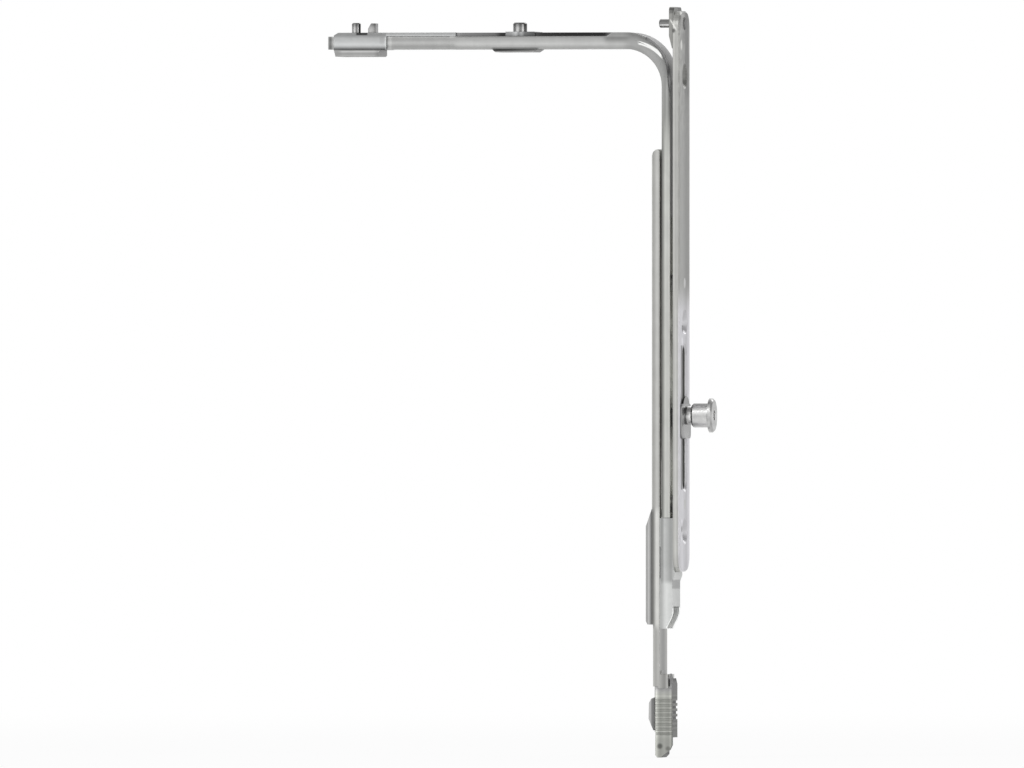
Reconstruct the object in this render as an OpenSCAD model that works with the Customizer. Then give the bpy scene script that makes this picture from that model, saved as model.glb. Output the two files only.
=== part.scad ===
// Espagnolette corner drive for a tilt-and-turn sash, shown in its middle position.
// Millimetres. The origin is on the axis of the upper fixing-screw hole, in the back face of the forend.
// +X points out of the forend, +Z runs up the forend towards the corner, Y runs across the hardware groove.

/* [Forend] */
// Width of the forend
forend_width = 16; // [15:0.5:18]
// Thickness of the forend
forend_thickness = 2.05; // [1.9:0.05:2.3]
// Height of the forend's top end above the upper fixing screw
forend_top = 18.75; // [18.4:0.05:19.2]
// Distance of the forend's bottom end below the upper fixing screw
forend_bottom = 143.5; // [143:0.1:144]
// Radius of the forend's corners
forend_corner = 5; // [4:0.5:6]
// Bevel along the forend's front edges
forend_bevel = 0.5; // [0.3:0.1:0.6]
// Width of the bevel round the cam's slot
slot_bevel = 0.6; // [0.4:0.1:0.7]

/* [Fixing screws] */
// Bore of the fixing-screw holes
screw_bore = 4.3; // [4:0.1:4.5]
// Diameter of the 90 degree countersinks at the face
screw_head = 7.6; // [7:0.1:7.8]
// Distance of the middle fixing screw below the upper one
screw_middle = 71.2; // [70:0.2:72]
// Distance of the lower fixing screw below the upper one
screw_lower = 131.8; // [131.4:0.1:132.2]

/* [Stroke] */
// Full travel of the drive rod, half of it each way from the middle position
stroke = 36; // [30:1:36]
// Clearance left at each end of a travel slot
slot_end_gap = 0.2; // [0.1:0.05:0.3]
// Clearance at each side of a travel slot
slot_side_gap = 0.25; // [0.15:0.05:0.4]
// Gap between faces that slide on each other
slide_gap = 0.06; // [0.04:0.01:0.08]

/* [Hardware groove] */
// Width of the pieces that lie in the sash groove
groove_width = 12; // [11.8:0.1:12.2]

/* [Locating piece] */
// Thickness of the locating plate behind the forend's top end
plate_thickness = 1.5; // [1.3:0.05:1.6]
// Height of the locating plate's top end above the upper fixing screw
plate_top = 19.9; // [19.5:0.1:20.2]
// Distance of the locating plate's lower tip above the upper fixing screw
plate_bottom = 7.9; // [7.7:0.1:8.6]
// Diameter of the locating pin
stub_diameter = 2.5; // [2.2:0.1:2.8]
// Diameter of the locating pin's riveted shank
stub_shank = 2; // [1.6:0.1:2]
// Length of the locating pin behind the plate
stub_length = 3.85; // [3.5:0.05:4.2]
// Height of the locating pin above the upper fixing screw
stub_height = 15.2; // [15:0.05:15.3]

/* [Bend] */
// Height of the horizontal leg's top face above the upper fixing screw
leg_top = 12.65; // [12.5:0.05:12.8]
// Outer radius of the bend, measured over the spring band
bend_radius = 13; // [12.8:0.1:13.2]
// Distance of the bend's outer face behind the forend's back
bend_inset = 1.15; // [1.1:0.01:1.2]
// Distance of the raised walls' free end from the forend's back
wall_reach = 19.4; // [19:0.1:20]
// Thickness of the raised walls and of the vertical channel's walls
wall_side = 0.65; // [0.5:0.05:0.7]
// Radius of the low rims beside the floor of the bend
rim_radius = 11.6; // [11.4:0.05:11.7]

/* [Spring band] */
// Thickness of the spring band where all its leaves lie together
band_thickness = 1; // [0.9:0.02:1.04]
// Thickness of the single leaf at each end of the band
leaf_thickness = 0.6; // [0.5:0.02:0.62]
// Clearance between each edge of the spring band and the channel's wall
band_side_gap = 0.15; // [0.1:0.05:0.3]
// Distance of the corner band's lower end below the upper fixing screw
band_drop = 41; // [40:0.5:44]

/* [Channel] */
// Height of the horizontal channel
channel_height = 3.74; // [3.66:0.02:3.82]
// Thickness of the channel's floor in the leg and the bend
channel_floor = 1.9; // [1.7:0.05:2]
// Depth of the vertical channel
channel_depth = 2.46; // [2.4:0.02:2.5]
// Thickness of the vertical channel's floor
channel_back = 0.68; // [0.6:0.02:0.7]
// Inner radius of the channel's bend
channel_radius = 10.8; // [10.4:0.1:11.2]
// Distance of the vertical channel's back from the forend's back
channel_offset = 3.62; // [3.58:0.02:3.66]
// Length of the channel that stands out of the slider's free end
channel_nose = 2.3; // [2:0.1:2.6]
// Width of the channel under the slider
channel_nose_width = 10; // [9.6:0.1:10.1]
// Distance of the vertical channel's lower end below the upper fixing screw
channel_bottom = 127.9; // [127.4:0.1:127.9]

/* [Drive rod] */
// Thickness of the drive rod
rod_thickness = 2.25; // [2.2:0.01:2.5]
// Distance of the drive rod's front from the forend's back
rod_offset = 4.25; // [4.2:0.01:4.35]
// Thickness of the drive rod's lower end
rod_tail_thickness = 1.92; // [1.8:0.02:2]
// Distance of the drive rod's top end below the upper fixing screw
rod_top = 21.3; // [20.9:0.1:21.6]
// Distance below the upper fixing screw at which the drive rod becomes thinner
rod_step = 159; // [158.6:0.1:160]
// Diameter of the rivets that join the band to the drive rod
rod_rivet = 3.4; // [3:0.1:3.6]

/* [Rod guide] */
// Distance of the rod guide's top below the upper fixing screw
block_top = 128; // [127.8:0.1:128.3]
// Distance of the rod guide's lower tip below the upper fixing screw
block_bottom = 160; // [159.6:0.1:160.2]
// Thickness of the pad behind the drive rod
pad_thickness = 1.73; // [1.5:0.01:1.85]
// Width of the pillar that passes through the drive rod
pillar_width = 5.8; // [5.6:0.1:6]
// Height of the pillar that passes through the drive rod
pillar_height = 11.8; // [11.4:0.1:12]

/* [Rod coupling] */
// Distance of the coupling's top below the upper fixing screw
coupling_top = 176.7; // [176.3:0.1:177]
// Height of the toothed part of the coupling
coupling_height = 14.8; // [14.6:0.1:15.2]
// Width of the coupling
coupling_width = 8.4; // [8.2:0.1:8.6]
// Depth of the coupling from back to front
coupling_depth = 4.95; // [4.8:0.05:5.1]
// Distance of the coupling's back from the forend's back
coupling_offset = 5.85; // [5.8:0.01:5.9]
// Pitch of the coupling's teeth
tooth_pitch = 1.36; // [1.3:0.02:1.4]
// Depth of the grooves between the teeth
tooth_depth = 0.35; // [0.25:0.05:0.45]
// Distance of the first groove below the coupling's top
tooth_start = 3.8; // [3.4:0.1:3.9]
// Length of the tapered nose under the coupling
nose_length = 5.8; // [5.5:0.1:6.5]
// Height of the lug above the coupling
lug_height = 3.7; // [3.4:0.1:3.8]

/* [Locking cam] */
// Distance of the cam's turning axis below the upper fixing screw
cam_drop = 98.9; // [98.5:0.1:99.3]
// Diameter of the cam's shank in the forend slot
shank_diameter = 5.6; // [5.2:0.1:5.8]
// Offset of the roller's axis from the cam's turning axis
eccentricity = 0.6; // [0.3:0.1:0.8]
// Diameter of the disc that lies on the forend
disc_diameter = 12.4; // [11:0.2:13]
// Thickness of the disc that lies on the forend
disc_thickness = 0.45; // [0.4:0.05:0.6]
// Diameter of the roller
roller_diameter = 7; // [6.6:0.1:8]
// Length of the roller
roller_length = 5; // [4.6:0.1:5.4]
// Diameter of the journal under the roller
journal_diameter = 4.6; // [4.2:0.1:4.8]
// Radial clearance between the roller and its journal
roller_fit = 0.05; // [0.03:0.01:0.08]
// Diameter of the cam's head
head_diameter = 9.9; // [9:0.1:11]
// Thickness of the cam's head
head_thickness = 1.35; // [1.3:0.05:1.6]
// Width across the flats of the adjusting socket
socket_width = 4; // [3:0.5:4.5]

/* [Coupling slider] */
// Distance of the slider's far end from the forend's back
slider_reach = 100.4; // [100:0.1:100.8]
// Length of the slider
slider_length = 15.5; // [15.2:0.1:15.7]
// Thickness of the pad under the slider
slider_pad = 2; // [1.8:0.1:2.4]
// Length of the pad under the slider
slider_pad_length = 13.4; // [13:0.1:14]
// Height of the studs above the leg's top face
stud_height = 2.9; // [2.6:0.05:3.1]
// Diameter of the outer stud
outer_stud = 2.6; // [2.2:0.1:2.8]
// Distance of the outer stud from the slider's free end
outer_stud_setback = 5.5; // [5.2:0.05:5.8]
// Length of the hook beside the outer stud
hook_length = 2.2; // [2:0.1:2.4]
// Width of the hook beside the outer stud
hook_width = 4; // [3.5:0.1:5]
// Distance of the hook from the slider's free end
hook_setback = 10.45; // [10.3:0.05:10.6]

/* [Slide bar] */
// Length of the slide bar beyond the slider
bar_length = 20.5; // [20:0.1:21]
// Length of the lap joint between the slide bar and its band
lap_length = 7.5; // [7.2:0.1:7.6]
// Distance of the moving band's near end from the forend's back
slide_band_near = 36.5; // [36.3:0.1:38]

/* [Guide stud] */
// Distance of the guide stud from the forend's back
guide_stud_reach = 46.5; // [46.2:0.05:46.8]
// Diameter of the guide stud
guide_stud = 4.1; // [3.8:0.1:4.3]
// Length of the clip under the guide stud
clip_length = 8.6; // [8:0.1:8.8]
// Distance of the clip's middle from the stud's axis, towards the corner
clip_shift = 1.15; // [0.8:0.05:1.3]
// Height of the clip above the leg's top face
clip_proud = 0.2; // [0.15:0.05:0.3]
// Length of the plate under the channel
under_plate_length = 13.5; // [13:0.1:14]
// Distance of the plate's middle from the stud's axis, away from the corner
under_plate_shift = 0.55; // [0.3:0.05:0.8]
// Thickness of the plate under the channel
under_plate = 0.8; // [0.7:0.05:1]

/* [Hidden] */
$fn = 48;
travel = stroke / 2;
eps = 0.01;
steel = [0.74, 0.75, 0.74];
band_steel = [0.22, 0.23, 0.24];
zinc = [0.80, 0.82, 0.83];

// Levels measured as depths under the leg's top face. The same depths hold behind the bend's outer face.
band_in = 0.05;
band_out = band_in + band_thickness;
leaf_in = band_out - leaf_thickness;
wall_top = leg_top - band_out - slide_gap;
leg_bottom = wall_top - channel_height;
wall_thickness = 1.1;
wall_near = 10.8;
wall_taper = 3.2;
rim_forward = 0.8;
rim_up = 1.55;
floor_top = leg_bottom + channel_floor;
bend_x = -bend_inset - bend_radius;
bend_z = leg_top - bend_radius;
inner_x = -channel_offset - channel_radius;
inner_z = leg_bottom - channel_radius;
channel_front = channel_depth - channel_offset;
side_x = groove_width / 2;
band_width = groove_width - 2 * (wall_side + band_side_gap);
channel_reach = slider_reach + channel_nose;
flange_clear = groove_width - 2 * wall_side;
corner_band_reach = slide_band_near - travel - 0.1;

// Travel slots
shank_slot_width = shank_diameter + 2 * slot_side_gap;
shank_slot_length = stroke + shank_diameter + 2 * slot_end_gap;
screw_slot_width = screw_bore + 2 * slot_side_gap;
screw_slot_length = stroke + screw_bore + 2 * slot_end_gap;
screw_clearance = screw_bore + 0.4;
pillar_slot_width = pillar_width + 2 * slot_side_gap;
pillar_slot_length = stroke + pillar_height + 2 * slot_end_gap;
pillar_z = -block_top - pillar_height / 2 + 0.4;
rod_rivet_inset = 3.8;
rod_rivet_pitch = 8.6;
rod_rivet_high = -rod_top - rod_rivet_inset;
rod_rivet_low = rod_rivet_high - rod_rivet_pitch;
rod_leaf_end = 4.1;
rod_rivet_shoulder = 1.3;
rod_slot_top = rod_rivet_high + travel + rod_rivet / 2 + slot_end_gap;
rod_slot_bottom = rod_rivet_low - travel - rod_rivet / 2 - slot_end_gap;
rod_slot_width = rod_rivet + 2 * slot_side_gap;
stud_shank = 3.2;
stud_slot_width = stud_shank + 2 * slot_side_gap;
stud_slot_length = stroke + stud_shank + 2 * slot_end_gap;
slider_end = slider_length - slider_reach;
bar_near = -slider_end - bar_length;
outer_stud_reach = slider_reach - outer_stud_setback;
hook_reach = slider_reach - hook_setback;
nose_end = slider_end + travel + 0.7;
nose_radius = 2.4;
csk_depth = (screw_head - screw_bore) / 2;

// Rivets
rivet_diameter = 3;
rivet_spacer = 5;
channel_rivet_high = -60;
channel_rivet_low = -124;
plate_rivet_z = 10.6;
guide_rivet_z = -140.6;
pillar_rivet_z = -137;
pillar_rivet_diameter = 2.4;
lap_rivet = 2;
lap_rivet_far = -bar_near - 5.2;
lap_rivet_near = -bar_near - 2.2;

// Slider
hook_shank = 2;
tongue_length = 11;

// Cam levels
cam_z = -cam_drop;
roller_z = cam_z + eccentricity;
disc_x = forend_thickness + slide_gap;
waist_x = disc_x + disc_thickness;
roller_x = waist_x + 1.75;
head_x = roller_x + roller_length + 2 * slide_gap;
cam_journal = 4;
cam_flare = 5.8;
cam_seat_gap = 0.05;

// Rod levels
rod_front = -rod_offset;
rod_back = rod_front - rod_thickness;
rod_tail_back = rod_front - rod_tail_thickness;
rod_tongue_width = 7;
rod_end = -coupling_top - coupling_height + 1.6;
land_width = 8;
land_height = 4.6;
land_proud = 0.2;
pad_front = rod_back - 0.07;
pad_back = pad_front - pad_thickness;
coupling_back = -coupling_offset;
coupling_front = coupling_back + coupling_depth;
coupling_bottom = -coupling_top - coupling_height;
coupling_rivet = 3;
coupling_rivet_high = -coupling_top - 5.2;
coupling_rivet_low = -coupling_top - 10.4;
coupling_teeth = 8;
clamp_thickness = 0.9;
lug_thickness = 1.4;
guide_back = rod_front + 0.05;
guide_heel = 3.75;
notch_width = coupling_width + 0.4;
notch_top = max(lug_height, land_height) - coupling_top + travel + 0.5;

// Extrudes a side profile drawn in X and Z across the groove
module across(width) {
    rotate([90, 0, 0])
        linear_extrude(height = width, center = true)
            children();
}

// A round bar along X
module bar_x(x0, x1, diameter, z) {
    translate([x0, 0, z])
        rotate([0, 90, 0])
            cylinder(d = diameter, h = x1 - x0);
}

// A round-ended slot cut along X through a piece in the vertical leg
module slot_x(x0, x1, z0, z1, width) {
    translate([x0, 0, 0])
        rotate([90, 0, 90])
            linear_extrude(height = x1 - x0)
                slot_outline(z0, z1, width);
}

// Outline of a round-ended slot, drawn in Y and Z
module slot_outline(z0, z1, width) {
    translate([-width / 2, z0 + width / 2])
        square([width, z1 - z0 - width]);
    translate([0, z0 + width / 2])
        circle(d = width);
    translate([0, z1 - width / 2])
        circle(d = width);
}

// A round-ended slot cut along Z through a piece in the horizontal leg
module slot_z(z0, z1, x0, x1, width) {
    translate([0, 0, z0])
        rotate([0, 0, -90])
            linear_extrude(height = z1 - z0)
                slot_outline(x0, x1, width);
}

// Quarter ring between two depths under the bend's outer face, drawn in X and Z
module bend_arc(depth_in, depth_out) {
    translate([bend_x, bend_z])
        intersection() {
            difference() {
                circle(r = bend_radius - depth_in);
                circle(r = bend_radius - depth_out);
            }
            square([bend_radius, bend_radius]);
        }
}

// A 90 degree countersunk hole in the forend
module screw_hole(z) {
    bar_x(-1, forend_thickness + 1, screw_bore, z);
    translate([forend_thickness - csk_depth, 0, z])
        rotate([0, 90, 0])
            cylinder(d1 = screw_bore, d2 = screw_head + 2, h = csk_depth + 1);
}

module forend() {
    color(steel)
        difference() {
            forend_blank();
            slot_x(-1, forend_thickness + 1, cam_z - shank_slot_length / 2, cam_z + shank_slot_length / 2,
                shank_slot_width);
            slot_mouth(cam_z - shank_slot_length / 2, cam_z + shank_slot_length / 2, shank_slot_width);
            screw_hole(0);
            screw_hole(-screw_middle);
            screw_hole(-screw_lower);
            bar_x(-1, forend_thickness + 1, stub_shank, stub_height);
            bar_x(-1, forend_thickness + 1, rivet_diameter, plate_rivet_z);
            bar_x(-1, forend_thickness + 1, rivet_diameter, channel_rivet_high);
            bar_x(-1, forend_thickness + 1, rivet_diameter, channel_rivet_low);
            bar_x(-1, forend_thickness + 1, rivet_diameter, guide_rivet_z);
        }
}

// Bevelled mouth of a slot in the forend's front
module slot_mouth(z0, z1, width) {
    deep = forend_thickness - slot_bevel;
    half = width / 2;
    wide = half + slot_bevel + eps;
    for (z = [z0 + half, z1 - half])
        translate([deep, 0, z])
            rotate([0, 90, 0])
                cylinder(r1 = half, r2 = wide, h = slot_bevel + eps);
    translate([0, 0, z0 + half])
        linear_extrude(height = z1 - z0 - width)
            polygon([[deep, -half], [forend_thickness + eps, -wide], [forend_thickness + eps, wide], [deep, half]]);
}

// The forend's strip with its rounded corners and bevelled front edges
module forend_blank() {
    flat = forend_thickness - forend_bevel;
    forend_layer(0, flat, 0);
    translate([flat, 0, 0])
        intersection() {
            forend_layer(-eps, forend_bevel + eps, 0);
            union() {
                forend_wedge();
                forend_round(-1, forend_top);
                forend_round(1, forend_top);
                forend_round(-1, 2 * forend_corner - forend_bottom);
                forend_round(1, 2 * forend_corner - forend_bottom);
            }
        }
}

// A flat layer of the forend with rounded corners, drawn in by an inset
module forend_layer(x, thickness, inset) {
    half = forend_width / 2 - inset;
    radius = forend_corner - inset;
    high = forend_top - inset;
    low = inset - forend_bottom;
    translate([x, -half, low + radius])
        cube([thickness, 2 * half, high - low - 2 * radius]);
    translate([x, radius - half, low])
        cube([thickness, 2 * (half - radius), high - low]);
    for (side = [-1, 1]) {
        translate([0, side * (half - radius), 0])
            bar_x(x, x + thickness, 2 * radius, high - radius);
        translate([0, side * (half - radius), 0])
            bar_x(x, x + thickness, 2 * radius, low + radius);
    }
}

// The bevelled layer's straight stretches, as two crossed bars with sloping edges
module forend_wedge() {
    half = forend_width / 2;
    flat_half = half - forend_corner;
    translate([0, 0, forend_corner - forend_bottom])
        linear_extrude(height = forend_top + forend_bottom - 2 * forend_corner)
            polygon([[-eps, -half], [0, -half], [forend_bevel, forend_bevel - half],
                [forend_bevel, half - forend_bevel], [0, half], [-eps, half]]);
    across(2 * flat_half)
        polygon([[-eps, -forend_bottom], [0, -forend_bottom], [forend_bevel, forend_bevel - forend_bottom],
            [forend_bevel, forend_top - forend_bevel], [0, forend_top], [-eps, forend_top]]);
}

// The bevelled layer at one rounded corner
module forend_round(side, top) {
    translate([-eps, side * (forend_width / 2 - forend_corner), top - forend_corner])
        rotate([0, 90, 0])
            cylinder(r = forend_corner, h = eps);
    translate([0, side * (forend_width / 2 - forend_corner), top - forend_corner])
        rotate([0, 90, 0])
            cylinder(r1 = forend_corner, r2 = forend_corner - forend_bevel, h = forend_bevel);
}

module locating_plate() {
    color(steel)
        difference() {
            across(groove_width)
                polygon([[0, plate_top], [-plate_thickness, plate_top], [-plate_thickness, plate_bottom + 3.6],
                    [-plate_thickness + 0.9, plate_bottom], [0, plate_bottom]]);
            bar_x(-plate_thickness - 1, 1, stub_shank, stub_height);
            bar_x(-plate_thickness - 1, 1, rivet_diameter, plate_rivet_z);
            plate_corner(-1);
            plate_corner(1);
        }
}

// Cuts one rounded upper corner of the locating plate
module plate_corner(side) {
    radius = 1.6;
    translate([-plate_thickness - 1, side * (side_x - radius), plate_top - radius])
        difference() {
            translate([0, side > 0 ? 0 : -radius - 1, 0])
                cube([plate_thickness + 2, radius + 1, radius + 1]);
            rotate([0, 90, 0])
                translate([0, 0, -1])
                    cylinder(r = radius, h = plate_thickness + 4);
        }
}

module locating_pin() {
    color(steel) {
        bar_x(-plate_thickness - stub_length + 0.3, -plate_thickness, stub_diameter, stub_height);
        bar_x(-plate_thickness, forend_thickness, stub_shank, stub_height);
        translate([-plate_thickness - stub_length, 0, stub_height])
            rotate([0, 90, 0])
                cylinder(d1 = stub_diameter - 0.6, d2 = stub_diameter, h = 0.3);
        // Riveted end, proud of the forend
        translate([forend_thickness, 0, stub_height])
            rotate([0, 90, 0])
                cylinder(d1 = stub_diameter + 1.4, d2 = stub_diameter + 0.8, h = 0.3);
    }
}

module forend_rivets() {
    color(steel) {
        bar_x(-plate_thickness, forend_thickness, rivet_diameter, plate_rivet_z);
        bar_x(-guide_heel, forend_thickness, rivet_diameter, guide_rivet_z);
    }
}

module corner_channel() {
    color(steel)
        difference() {
            union() {
                channel_leg();
                channel_drop();
                raised_wall(-1);
                raised_wall(1);
                bend_rim(-1);
                bend_rim(1);
            }
            // Travel slots for the guide stud, the band rivets and the cam, and the screw clearances
            slot_z(leg_bottom - 1, floor_top + 1, -guide_stud_reach - stud_slot_length / 2,
                -guide_stud_reach + stud_slot_length / 2, stud_slot_width);
            slot_x(-channel_offset - 1, 0, rod_slot_bottom, rod_slot_top, rod_slot_width);
            slot_x(-channel_offset - 1, 0, cam_z - shank_slot_length / 2, cam_z + shank_slot_length / 2,
                shank_slot_width);
            bar_x(-8, 0, screw_clearance, 0);
            bar_x(-8, 0, screw_clearance, -screw_middle);
            bar_x(-8, 0, rivet_diameter, channel_rivet_high);
            bar_x(-8, 0, rivet_diameter, channel_rivet_low);
        }
}

// Horizontal leg of the channel with its bend
module channel_leg() {
    nose_clear = channel_nose_width - 2 * wall_thickness;
    body_clear = groove_width - 2 * wall_thickness;
    difference() {
        union() {
            across(groove_width)
                channel_leg_profile();
            translate([-channel_reach, -channel_nose_width / 2, leg_bottom])
                cube([channel_reach + nose_end + 1, channel_nose_width, channel_height]);
        }
        // Open inside of the U section
        translate([-channel_reach + 3, -nose_clear / 2, floor_top])
            cube([channel_reach - 3 + nose_end + 2, nose_clear, channel_height]);
        translate([nose_end + 1, -body_clear / 2, floor_top])
            cube([-nose_end - 1, body_clear, channel_height]);
        // Room for the corner band where it enters the vertical channel
        translate([channel_back - channel_offset, -flange_clear / 2, inner_z - 1])
            cube([channel_depth, flange_clear, 5.2]);
        nose_corner(-1);
        nose_corner(1);
    }
}

// Raised wall that guides the spring band into the bend
module raised_wall(side) {
    top = leg_top - band_in;
    translate([0, side * (side_x - wall_side / 2), 0])
        across(wall_side)
            intersection() {
                polygon([[-wall_reach - 0.6, wall_top - 0.5], [-wall_reach - 0.4, wall_top],
                    [-wall_reach + 0.9, top - 0.2], [-wall_reach + 1.6, top], [wall_taper - wall_near, top],
                    [wall_taper - wall_near - 1, floor_top + 0.6], [-wall_near, floor_top],
                    [-wall_near - 1, floor_top], [-wall_near - 1, wall_top - 0.5]]);
                union() {
                    translate([bend_x, bend_z])
                        circle(r = bend_radius - band_in);
                    translate([-wall_reach - 1, wall_top - 1])
                        square([wall_reach + 1 + bend_x, bend_radius]);
                }
            }
}

// Low rim beside the band round the bend, which dies out towards the vertical leg
module bend_rim(side) {
    translate([0, side * (side_x - wall_side / 2), 0])
        across(wall_side)
            intersection() {
                difference() {
                    translate([inner_x + rim_forward, inner_z + rim_up])
                        circle(r = rim_radius);
                    translate([inner_x, inner_z])
                        circle(r = channel_radius + channel_floor / 2);
                }
                translate([-wall_near - 1, inner_z])
                    square([wall_near + 1, channel_radius + channel_height]);
            }
}

// Side profile of the full-width leg and the bend
module channel_leg_profile() {
    translate([nose_end, leg_bottom])
        square([inner_x - nose_end, channel_height]);
    translate([inner_x, inner_z])
        intersection() {
            difference() {
                circle(r = channel_radius + channel_floor);
                circle(r = channel_radius);
            }
            square([channel_radius + channel_floor, channel_radius + channel_floor]);
        }
    // Walls carried a little way over the bend
    difference() {
        translate([inner_x - eps, floor_top - 1])
            square([-inner_x - wall_near, wall_top - floor_top + 1]);
        translate([inner_x, inner_z])
            circle(r = channel_radius + channel_floor / 2);
    }
}

// Cuts one rounded corner at the free end of the channel
module nose_corner(side) {
    translate([-channel_reach, side * channel_nose_width / 2, leg_bottom - 1])
        difference() {
            translate([-1, side > 0 ? -nose_radius : -1, 0])
                cube([nose_radius + 1, nose_radius + 1, channel_height + 2]);
            translate([nose_radius, -side * nose_radius, -1])
                cylinder(r = nose_radius, h = channel_height + 4);
        }
}

// Vertical leg of the channel, open towards the forend
module channel_drop() {
    difference() {
        across(groove_width)
            polygon([[-channel_offset, inner_z], [channel_floor - channel_offset, inner_z],
                [channel_front, inner_z - 3.3], [channel_front, -channel_bottom],
                [-channel_offset, -channel_bottom]]);
        translate([channel_back - channel_offset, -flange_clear / 2, -channel_bottom - 1])
            cube([channel_depth, flange_clear, inner_z + channel_bottom + 1]);
    }
}

module channel_rivets() {
    color(steel) {
        channel_rivet(channel_rivet_high);
        channel_rivet(channel_rivet_low);
    }
}

// A shouldered rivet that holds the channel at its distance behind the forend
module channel_rivet(z) {
    bar_x(-channel_offset, forend_thickness, rivet_diameter, z);
    bar_x(channel_back - channel_offset, 0, rivet_spacer, z);
}

module corner_band() {
    color(band_steel)
        difference() {
            across(band_width)
                corner_band_profile();
            // Slot that clears the upper fixing screw over the whole travel
            translate([-bend_inset - band_out - 1, -screw_slot_width / 2, -screw_slot_length / 2])
                cube([band_thickness + 2, screw_slot_width, screw_slot_length / 2 + 4]);
        }
}

// Side profile of the corner band
module corner_band_profile() {
    bend_arc(band_in, band_out);
    translate([-bend_inset - band_out, -band_drop])
        square([band_thickness, bend_z + band_drop + eps]);
    translate([-corner_band_reach, leg_top - band_out])
        square([corner_band_reach + bend_x + eps, band_thickness]);
}

module rod_guide() {
    foot = -forend_bottom - 0.1;
    front = 0.44;
    color(zinc)
        difference() {
            union() {
                across(groove_width)
                    polygon([[0, -block_top], [0, foot], [0.2, foot], [0.2, foot - 1], [-front, foot - 2.7],
                        [-front, 4.5 - block_bottom], [-1, 2.9 - block_bottom], [-2.1, 0.8 - block_bottom],
                        [-2.3, -block_bottom], [guide_back, -block_bottom], [guide_back, foot - 2],
                        [-guide_heel, foot - 1.2], [-guide_heel, foot + 6.7], [guide_back, foot + 7.5],
                        [guide_back, -block_top]]);
                slot_x(pad_front, -1, pillar_z - pillar_height / 2, pillar_z + pillar_height / 2, pillar_width);
            }
            bar_x(-12, 2, screw_bore, -screw_lower);
            bar_x(-12, 2, pillar_rivet_diameter, pillar_rivet_z);
            bar_x(-guide_heel - 1, 2, rivet_diameter, guide_rivet_z);
            // Notch that the coupling enters at the upper end of its travel
            translate([-12, -notch_width / 2, -block_bottom - 1])
                cube([14, notch_width, notch_top + block_bottom + 1]);
        }
}

module rod_guide_pad() {
    pad_low = 1.2 - block_bottom;
    color(zinc)
        difference() {
            across(groove_width)
                polygon([[pad_front, 2.6 - block_top], [pad_back, -block_top - 2.4], [pad_back, pad_low + 1],
                    [pad_back + 0.5, pad_low], [pad_front, pad_low]]);
            bar_x(-12, 2, screw_bore, -screw_lower);
            bar_x(-12, 2, pillar_rivet_diameter, pillar_rivet_z);
            // Shallow relief along the back of the pad
            translate([pad_back - 1, -side_x + 2, pad_low + 3.4])
                cube([1.35, groove_width - 4, 15]);
        }
}

module guide_rivet() {
    color(steel)
        bar_x(pad_back, 0, pillar_rivet_diameter, pillar_rivet_z);
}

module drive_rod() {
    color(steel)
        difference() {
            union() {
                across(groove_width)
                    polygon([[rod_front, -rod_top - 0.5], [rod_front - 0.5, -rod_top],
                        [rod_back + 1.1, -rod_top - 0.1], [rod_back + 0.4, -rod_top - 0.7],
                        [rod_back, -rod_top - 1.8], [rod_back, 0.6 - rod_step], [rod_tail_back, -rod_step],
                        [rod_tail_back, -coupling_top], [rod_front, -coupling_top]]);
                translate([rod_tail_back, -rod_tongue_width / 2, rod_end])
                    cube([rod_tail_thickness, rod_tongue_width, -coupling_top - rod_end + eps]);
                // Raised land above the coupling
                translate([rod_front - eps, -land_width / 2, -coupling_top])
                    cube([land_proud + eps, land_width, land_height]);
            }
            slot_x(rod_back - 1, 0, -screw_middle - screw_slot_length / 2, -screw_middle + screw_slot_length / 2,
                screw_slot_width);
            slot_x(rod_back - 1, 0, pillar_z - pillar_slot_length / 2, pillar_z + pillar_slot_length / 2,
                pillar_slot_width);
            bar_x(rod_back - 1, 0, rod_rivet, rod_rivet_high);
            bar_x(rod_back - 1, 0, rod_rivet, rod_rivet_low);
            cam_seat(cam_seat_gap);
            bar_x(rod_back - 1, 0, coupling_rivet, coupling_rivet_high);
            bar_x(rod_back - 1, 0, coupling_rivet, coupling_rivet_low);
        }
}

// Journal and flared end of the cam pin in the drive rod, grown by a clearance
module cam_seat(clearance) {
    bar_x(rod_back, rod_front + cam_seat_gap + clearance, cam_journal + 2 * clearance, cam_z);
    translate([rod_back - clearance, 0, cam_z])
        rotate([0, 90, 0])
            cylinder(d1 = cam_flare + 2 * clearance, d2 = cam_journal + 2 * clearance, h = 0.9 + clearance);
}

module rod_band() {
    color(band_steel)
        difference() {
            translate([channel_back - channel_offset + slide_gap, -band_width / 2, rod_rivet_low - rod_leaf_end])
                cube([leaf_thickness, band_width, rod_rivet_pitch + 2 * rod_leaf_end]);
            bar_x(-4, 0, rod_rivet, rod_rivet_high);
            bar_x(-4, 0, rod_rivet, rod_rivet_low);
        }
}

module rod_band_rivets() {
    color(steel) {
        rod_band_joint(rod_rivet_high);
        rod_band_joint(rod_rivet_low);
    }
}

// A rivet from the back of the drive rod to the band, with its shoulder between rod and channel
module rod_band_joint(z) {
    bar_x(rod_back, channel_back - channel_offset + slide_gap + leaf_thickness, rod_rivet, z);
    bar_x(rod_front, -channel_offset - slide_gap, rod_rivet + 2 * rod_rivet_shoulder, z);
}

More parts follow.
